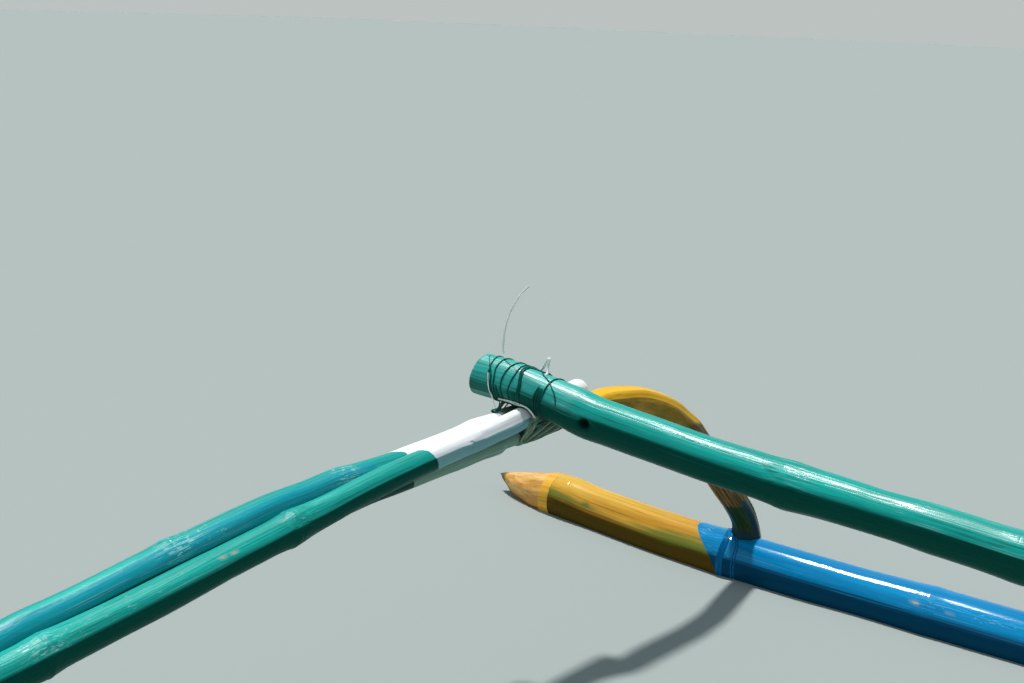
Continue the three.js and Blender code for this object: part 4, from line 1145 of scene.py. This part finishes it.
def build_crossing(station, xs, sign, drop, seed):
    parts = []
    r = 0.0029
    rng = np.random.default_rng(seed)
    jit = lambda a, size=1.6: a + float(rng.uniform(-size, size)) * (0 if station == "bow" else 1)

    def rise(p):          # height above the side pole's centreline, and distance from it
        c = side_point(p[:, 0])
        return p[:, 2] - c[:, 2], np.hypot(p[:, 1] - SIDE_Y, p[:, 2] - c[:, 2]) - side_radius(p[:, 0])

    def painted(p):       # painted over with the side pole where it lies on it, bare below
        up, off = rise(p)
        return step01(0.010, 0.004, off) * step01(-0.050, -0.030, up)

    def here(dx, y, z):   # a place given at the bow, moved with the side pole and the boom of this station
        x = xs + sign * dx
        k = float(step01(0.600, 0.640, z))
        z1 = z - side_point([STATION_X + dx])[0][2] + side_point([x])[0][2]
        return np.array([x, y, k * z1 + (1 - k) * (z - drop)])

    # loops over the side pole that lie beside each other, painted over, with painted shade on their lower halves; they
    # dive under it on both sides
    loops = [([(76, -60), (79, -30), (82, 20), (86.5, 47), (86, 86), (84, 120), (88, 160), (90, 210), (86, 262)], 0.0020),
             ([(56, -60), (59, -5), (59, 19), (55.5, 46), (48, 89), (44, 130), (42, 200), (46, 262)], 0.0020),
             ([(36, -58), (38, -5), (33, 20), (29, 47), (30, 76), (26, 120), (22, 200), (26, 262)], 0.0020),
             ([(10, -60), (5.5, 0), (4, 22), (10, 45), (16, 65), (14.6, 89), (10, 140), (6, 200), (10, 262)], 0.0027),
             ([(14, -60), (9.8, 0), (8.3, 22), (14.3, 45), (20.3, 65), (18.8, 89), (14, 140), (10, 200), (14, 262)], 0.0027),
             ([(23, 80), (12, 93), (-6, 99), (-22, 101), (-28, 112), (-29, 150), (-29, 210), (-27, 262)], 0.0025),
             ([(-103, 4, -0.0022), (-101, 16, -0.0012), (-98, 26), (-89, 40), (-62, 65), (-29.5, 85), (-6, 120), (6, 170), (10, 230)], 0.0018),
             ([(-42, -62), (-48, -32), (-56.5, -4), (-62.2, 27), (-63.8, 59), (-65.2, 85), (-67.4, 99), (-69, 120), (-71, 160), (-72, 215), (-72, 262)], 0.0022)]
    for i, (rows, rad) in enumerate(loops):
        rows = [(jit(q[0]) * MM,) + tuple(q[1:]) for q in rows]
        parts.append(rope(winding(xs, sign, rows, rad * 0.30), rad, 1.0, seed=seed + 40 + i, cord_shade=shaded))
    # short painted ends beside the fore loops, sunk in paint at their tops, with painted shade below
    for i, (dx, top) in enumerate(((92, 12), (88, 2), (72, 6), (68, -6))):
        rows = [(jit(dx + 2) * MM, top, -0.0018), (jit(dx) * MM, top - 18, 0.0006), (jit(dx - 1) * MM, -40, 0.0012), (jit(dx - 2) * MM, -66, 0.0016)]
        parts.append(rope(winding(xs, sign, rows, 0.001), 0.0020, lambda p: step01(-0.040, -0.026, rise(p)[0]),
                          seed=seed + 50 + i, cord_shade=shaded))
    # the upright bundle aft of the boom: each strand comes out of the paint, goes down past the aft pole's end and under the strut's tail
    for i in range(7):
        u, high = i / 6, 0.0014 * (i % 2)
        rows = [(-47 - 12 * u, 50 - 3 * u, -0.0020), (-42 - 15 * u, 32, -0.0010), (-37.5 - 19 * u, 12, 0.0002 + high), (-35.5 - 20.5 * u, -8, r * 0.4 + high),
                (-34.5 - 20.5 * u, -28, r * 0.4 + high), (-36 - 12 * u, -50, r * 0.5 + high)]
        start = winding(xs, sign, [(jit(q[0], 0.8) * MM,) + tuple(q[1:]) for q in rows], r)
        free = [here(-0.0295 - 0.0067 * u, 0.953 - 0.013 * u, 0.6480 - 0.0002 * u), here(-0.0215 - 0.0042 * u, 0.950 - 0.014 * u, 0.6240),
                here(-0.0097 - 0.0012 * u, 0.950 - 0.018 * u, 0.6005 - 0.0010 * u)]
        down = under_boom(xs, sign, drop, 0.957 - 0.011 * u, 0.0018, 205 + 4 * u, 340, slant=0.022 * u)
        # painted shade on the bundle, deepest on the side pole's lower half
        parts.append(rope(start + free + down, r * 0.58, painted, seed=seed + i, cord_shade=lambda p: 0.35 + 0.65 * shaded(p) * painted(p)))
    # the fan: strands from the side pole's underside down and under the strut's tail, then up on the fore side
    for i in range(8):
        dx = jit(-26 - 9 * i, 1.0) * MM
        y = 0.962 - 0.010 * i
        lift = (0.0, 0.0018, 0.0006)[i % 3]
        thick = 0.0033
        centre = side_point([xs + sign * dx])[0][2]
        sr = float(side_radius([xs + sign * dx])[0]) + thick
        px, pz = dx, centre - sr * math.sin(math.radians(120))
        touch = 0.0
        for cx, cz, cr in boom_circles(drop, y):       # the first surface that the strand meets on its way under the boom
            gap = math.hypot(cx - px, cz - pz)
            w = math.degrees(math.atan2(cz - pz, cx - px) - math.asin(min(0.95, (cr + thick) / gap))) - 90
            touch = w % 360 if touch == 0.0 else min(touch, w % 360)
        start = winding(xs, sign, [(dx + 0.014, 150, -0.0030), (dx + 0.010, 172, 0.0004), (dx + 0.004, 205, thick), (dx, 240, thick)], thick, 14)
        down = under_boom(xs, sign, drop, y + 0.005 * i, 0.0018 + lift, touch, 360, slant=0.010 * i)
        fore_dx = 103 - 1.0 * i
        up = winding(xs, sign, [((fore_dx - 2) * MM, 230, r), (fore_dx * MM, 190, r * 0.8), ((fore_dx - 4) * MM, 165, 0.0004), ((fore_dx - 8) * MM, 148, -0.0030)], r, 14)
        # each strand of the fan gets its own amount of painted shade
        parts.append(rope(start + down + up, thick, painted, seed=seed + 20 + i, cord_shade=(0.25, 0.50, 0.85, 0.35, 0.95, 0.45, 0.90, 0.60)[i]))
    # frapping turns: along the side pole's underside on the inboard side, then down over the aft pole's end
    frapping = []
    for i in range(2):
        k = 0.0030 * i
        w = 0.0009 * math.sin(i * 2.4 + seed)
        pts = [here(0.0760, 0.9540, 0.6680 - k), here(0.0700, 0.9640, 0.6715 - k), here(0.0600, 0.9672 - k * 0.4, 0.6727 - k + w),
               here(0.0377, 0.9682 - k * 0.4, 0.6730 - k), here(0.0136, 0.9685 - k * 0.4, 0.6712 - k - w), here(-0.0073, 0.9685, 0.6699 - k * 0.8),
               here(-0.0231 + k * 0.4, 0.9690, 0.6661 - k * 0.7), here(-0.0352 + k * 0.7, 0.9690, 0.6576 - k * 0.3), here(-0.0431 + k * 0.8, 0.9665, 0.6467),
               here(-0.0360 + k, 0.9560, 0.6440), here(-0.0170, 0.9500, 0.6400)]
        frapping.append(rope(pts, (0.0013, 0.0010)[i], 0.0, seed=seed + 70 + i))
    # a white strand from the fore loops down to the top of the fore pole, and its knot there
    fore, aft, fore_r, aft_r = boom_curves(xs, sign, drop)
    knot = fore([0.985])[0] + np.array([sign * 0.006, 0, float(fore_r([0.985])[0]) + 0.002])
    drop_line = winding(xs, sign, [(103 * MM, 40), (101.3 * MM, 28), (96.5 * MM, 6, 0.0012), (93 * MM, -22, 0.0018)], 0.0008, 10)
    white_parts = [rope(drop_line + [here(0.0815, 0.975, 0.6770), here(0.0735, 0.978, 0.6638), here(0.0660, 0.981, 0.6540)], 0.0017,
                        lambda p: step01(0.012, 0.034, rise(p)[0]), seed=seed + 60)] + frapping
    # close turns round the fore pole, between the other strands, darkened with painted shade
    close = []
    for i in range(24 * 10 + 1):
        a, y = i / 24 * TAU, 0.966 - 0.0064 * i / 24
        rad = float(fore_r([y])[0]) + 0.0022
        close.append(fore([y])[0] + np.array([sign * rad * math.cos(a), 0, rad * math.sin(a)]))
    parts.append(rope(close, 0.0029, 0.0, seed=seed + 64, step=0.005, cord_shade=0.95))
    # one strand drawn in between the strut's tail and the fore pole, darkened with painted shade
    parts.append(rope([here(0.0270, 0.790, 0.6020), here(0.0290, 0.840, 0.5960), here(0.0310, 0.900, 0.5935), here(0.0320, 0.955, 0.5930)],
                      0.0062, 0.0, seed=seed + 65, cord_shade=0.95))
    wrap = []
    for i in range(34):
        a = i / 33 * TAU * 2.3
        wrap.append(knot + np.array([sign * (0.0058 * math.cos(a)), 0.011 * (i / 33 - 0.5) + 0.002 * math.sin(a * 2), 0.0005 + 0.0048 * math.sin(a)]))
    parts.append(rope(wrap, 0.0019, 0.75, seed=seed + 61))
    parts.append(rope([knot + np.array([sign * q[0], q[1], q[2]]) for q in ((-0.004, 0.004, 0.006), (-0.012, 0.002, 0.014), (-0.014, 0.0, 0.026),
                                                                         (-0.008, -0.003, 0.031))], 0.0016, 1.0, seed=seed + 62))
    # a bight left standing on the outboard side, its two legs almost straight
    if station == "bow":
        legs = [on_side(xs, sign, -0.004, 128, -0.001), on_side(xs, sign, -0.0055, 111, 0.002), np.array([xs - 0.0110, 0.900, 0.7493]),
                np.array([xs - 0.0178, 0.900, 0.7603]), np.array([xs - 0.0251, 0.900, 0.7728]), np.array([xs - 0.0275, 0.900, 0.7752]),
                np.array([xs - 0.0292, 0.901, 0.7736]), np.array([xs - 0.0290, 0.906, 0.7571]), on_side(xs, sign, -0.0345, 96, 0.002),
                on_side(xs, sign, -0.0350, 86, -0.0018)]
        white_parts.append(rope(legs, 0.0038, 0.0, seed=seed + 80))
    verts, quads, tris, ex = joined(white_parts)
    make_mesh(f"{station}_white_cord", verts, quads, tris, ex, WHITE_CORD)
    # odd ends tucked through
    for i, (dx, deg, ln) in enumerate(((-30, -75, 0.022), (66, -78, 0.016))):
        a = on_side(xs, sign, dx * MM, deg, 0.002)
        parts.append(rope([a + np.array([0, -0.01, 0.004]), a, a + np.array([sign * 0.004, 0.008, -0.010]),
                           a + np.array([sign * (0.010 - 0.012 * i), 0.005, -0.010 - ln])], 0.0020, 0.1, seed=seed + 90 + i))
    verts, quads, tris, ex = joined(parts)
    piece = make_mesh(f"{station}_crossing_cord", verts, quads, tris, ex, PALE_CORD)
    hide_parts(f"{station}_crossing_lashing")


def build_turns(station, xs, sign, drop, seed):
    """The two foremost loops over the side pole, painted over with it, with painted shade on their lower halves."""
    parts = []
    for i, rows in enumerate(([(97, -60), (99, -20), (100, 31), (112, 56), (130, 80), (137, 115), (134, 165), (126, 215), (118, 262)],
                              [(84, -60), (88, -20), (92, 23), (104, 48), (113, 98), (118, 140), (116, 200), (108, 262)])):
        rows = [(a * MM, b) for a, b in rows]
        parts.append(rope(winding(xs, sign, rows, (-0.0010, 0.0006)[i]), (0.0014, 0.0019)[i], 1.0, seed=seed + 3 + i, cord_shade=shaded))
    verts, quads, tris, ex = joined(parts)
    piece = make_mesh(f"{station}_painted_turns", verts, quads, tris, ex, PALE_CORD)
    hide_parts(f"{station}_side_pole_turns")


def build_foot(station, xs, sign, drop, seed):
    """Cord round the float close in front of the strut's foot, painted blue with the float."""
    def on_float(dx, deg, off):
        x = xs + sign * dx
        p, r = float_point([x])[0], float_radius([x])[0]
        for n in FLOAT_NODES:
            r = r * (1 + 0.045 * math.exp(-((x - n * MM) / 0.030) ** 2))
        a = math.radians(deg)
        return np.array([x, p[1] + (r + off) * math.cos(a), p[2] + (r + off) * math.sin(a)])

    parts = []
    for j in range(5):
        pts = []
        for i in range(24):
            deg = i * 15 + j * 5
            crest = math.exp(-(((deg - 104 + 180) % 360 - 180) / 27) ** 2)
            dx = -0.0975 + 0.0040 * j + (0.0275 - 0.0026 * j) * crest + 0.0008 * math.sin(i * 1.9 + seed + j)
            pts.append(on_float(dx, deg, 0.0002))
        parts.append(rope(pts, 0.0023, 1.0, closed=True, seed=seed + j))
    # two turns that slip back under the foot
    for j in range(2):
        pts = []
        for i in range(24):
            deg = i * 15
            crest = math.exp(-(((deg - 104 + 180) % 360 - 180) / 34) ** 2)
            dx = -0.1280 - 0.0080 * j + (0.0560 + 0.0060 * j) * crest
            pts.append(on_float(dx, deg, -0.0004))
        parts.append(rope(pts, 0.0021, 1.0, closed=True, seed=seed + 9 + j))
    verts, quads, tris, ex = joined(parts)
    piece = make_mesh(f"{station}_foot_cord", verts, quads, tris, ex, BLUE_CORD)
    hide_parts(f"{station}_foot_lashing")


def build_binding(station, xs, sign, drop, seed):
    fore, aft, fore_r, aft_r = boom_curves(xs, sign, drop)
    parts = []
    pts = []
    turns = 5
    for i in range(turns * 24 + 1):
        y = 2.536 + 0.0064 * i / 24
        w = i / 24 * TAU
        f, a = fore([y])[0], aft([y])[0]
        n = (math.cos(w) * sign, math.sin(w))
        c = max(((f[0], f[2], float(fore_r([y])[0])), (a[0], a[2], float(aft_r([y])[0]))), key=lambda c: c[0] * n[0] + c[1] * n[1] + c[2])
        pts.append(np.array([c[0] + (c[2] + 0.0034) * n[0], y + 0.0008 * math.sin(i * 0.7), c[1] + (c[2] + 0.0034) * n[1]]))
    parts.append(rope(pts, 0.0029, 0.0, seed=seed + 9))
    verts, quads, tris, ex = joined(parts)
    piece = make_mesh(f"{station}_binding_cord", verts, quads, tris, ex, PALE_CORD)
    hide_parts(f"{station}_boom_binding")


build_float()
build_plug("bow_plug_wood", "float_bow_plug", 1, 3)
build_plug("stern_plug_wood", "float_stern_plug", -1, 14)
build_side()
for row in STATIONS:
    build_boom(*row)
    build_strut(*row)
    build_crossing(*row)
    build_turns(*row)
    build_foot(*row)
    build_binding(*row)


# ---- floor and light -----------------------------------------------------------------------------------
def studio():
    mesh = bpy.data.meshes.new("floor")
    a = 120.0
    mesh.from_pydata([(-a, -a, 0), (a, -a, 0), (a, a, 0), (-a, a, 0)], [], [(0, 1, 2, 3)])
    floor = bpy.data.objects.new("floor", mesh)
    bpy.context.scene.collection.objects.link(floor)
    m = Mat("floor_paper")
    m.set(Base_Color=rgb("#9da6a4"), Roughness=0.95, Specular_IOR_Level=0.0)
    mesh.materials.append(m.mat)

    def area(name, towards, target, dist, size_x, size_y, power, colour):
        d = unit(np.array(towards, float))
        x = unit(np.array([1.0, 0, 0]) - d * d[0])
        y = np.cross(d, x)
        data = bpy.data.lights.new(name, "AREA")
        data.shape = "RECTANGLE"
        data.size, data.size_y = size_x, size_y
        data.energy = power
        data.color = colour
        lamp = bpy.data.objects.new(name, data)
        mw = Matrix.Identity(4)
        pos = np.array(target, float) + d * dist
        for i in range(3):
            mw[i][0], mw[i][1], mw[i][2], mw[i][3] = x[i], y[i], d[i], pos[i]
        lamp.matrix_world = mw
        bpy.context.scene.collection.objects.link(lamp)

    sun = bpy.data.lights.new("key", "SUN")
    sun.energy, sun.angle, sun.color = 3.6, math.radians(4), (1.0, 0.98, 0.95)
    lamp = bpy.data.objects.new("key", sun)
    d = unit(np.array([0.32, -0.18, 0.93]))
    x = unit(np.cross([0, 1, 0], d))
    y = np.cross(d, x)
    mw = Matrix.Identity(4)
    for i in range(3):
        mw[i][0], mw[i][1], mw[i][2] = x[i], y[i], d[i]
    mw[2][3] = 6.0
    lamp.matrix_world = mw
    bpy.context.scene.collection.objects.link(lamp)
    area("fill", (-0.3, 0.75, 0.6), (0.6, 1.0, 0.3), 9.0, 5.0, 4.0, 12, (0.93, 0.97, 1.0))
    world = bpy.data.worlds.new("studio")
    world.use_nodes = True
    tree = world.node_tree
    coord = tree.nodes.new("ShaderNodeTexCoord")
    split = tree.nodes.new("ShaderNodeSeparateXYZ")
    fade = tree.nodes.new("ShaderNodeMapRange")
    blend = tree.nodes.new("ShaderNodeMix")
    blend.data_type = "RGBA"
    tree.links.new(coord.outputs["Generated"], split.inputs[0])
    tree.links.new(split.outputs["Z"], fade.inputs["Value"])
    fade.inputs["From Min"].default_value, fade.inputs["From Max"].default_value = 0.02, 0.30
    tree.links.new(fade.outputs[0], blend.inputs[0])
    blend.inputs[6].default_value = (0.50, 0.54, 0.53, 1)       # pale haze along the horizon
    blend.inputs[7].default_value = (0.30, 0.36, 0.40, 1)       # dimmer overhead
    tree.links.new(blend.outputs[2], tree.nodes["Background"].inputs[0])
    tree.nodes["Background"].inputs[1].default_value = 1.0
    bpy.context.scene.world = world
    bpy.context.scene.view_settings.view_transform = "Standard"
    bpy.context.scene.view_settings.look = "None"


studio()

for name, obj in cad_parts.items():
    if not obj.hide_render:
        raise RuntimeError("node not finished: " + name)
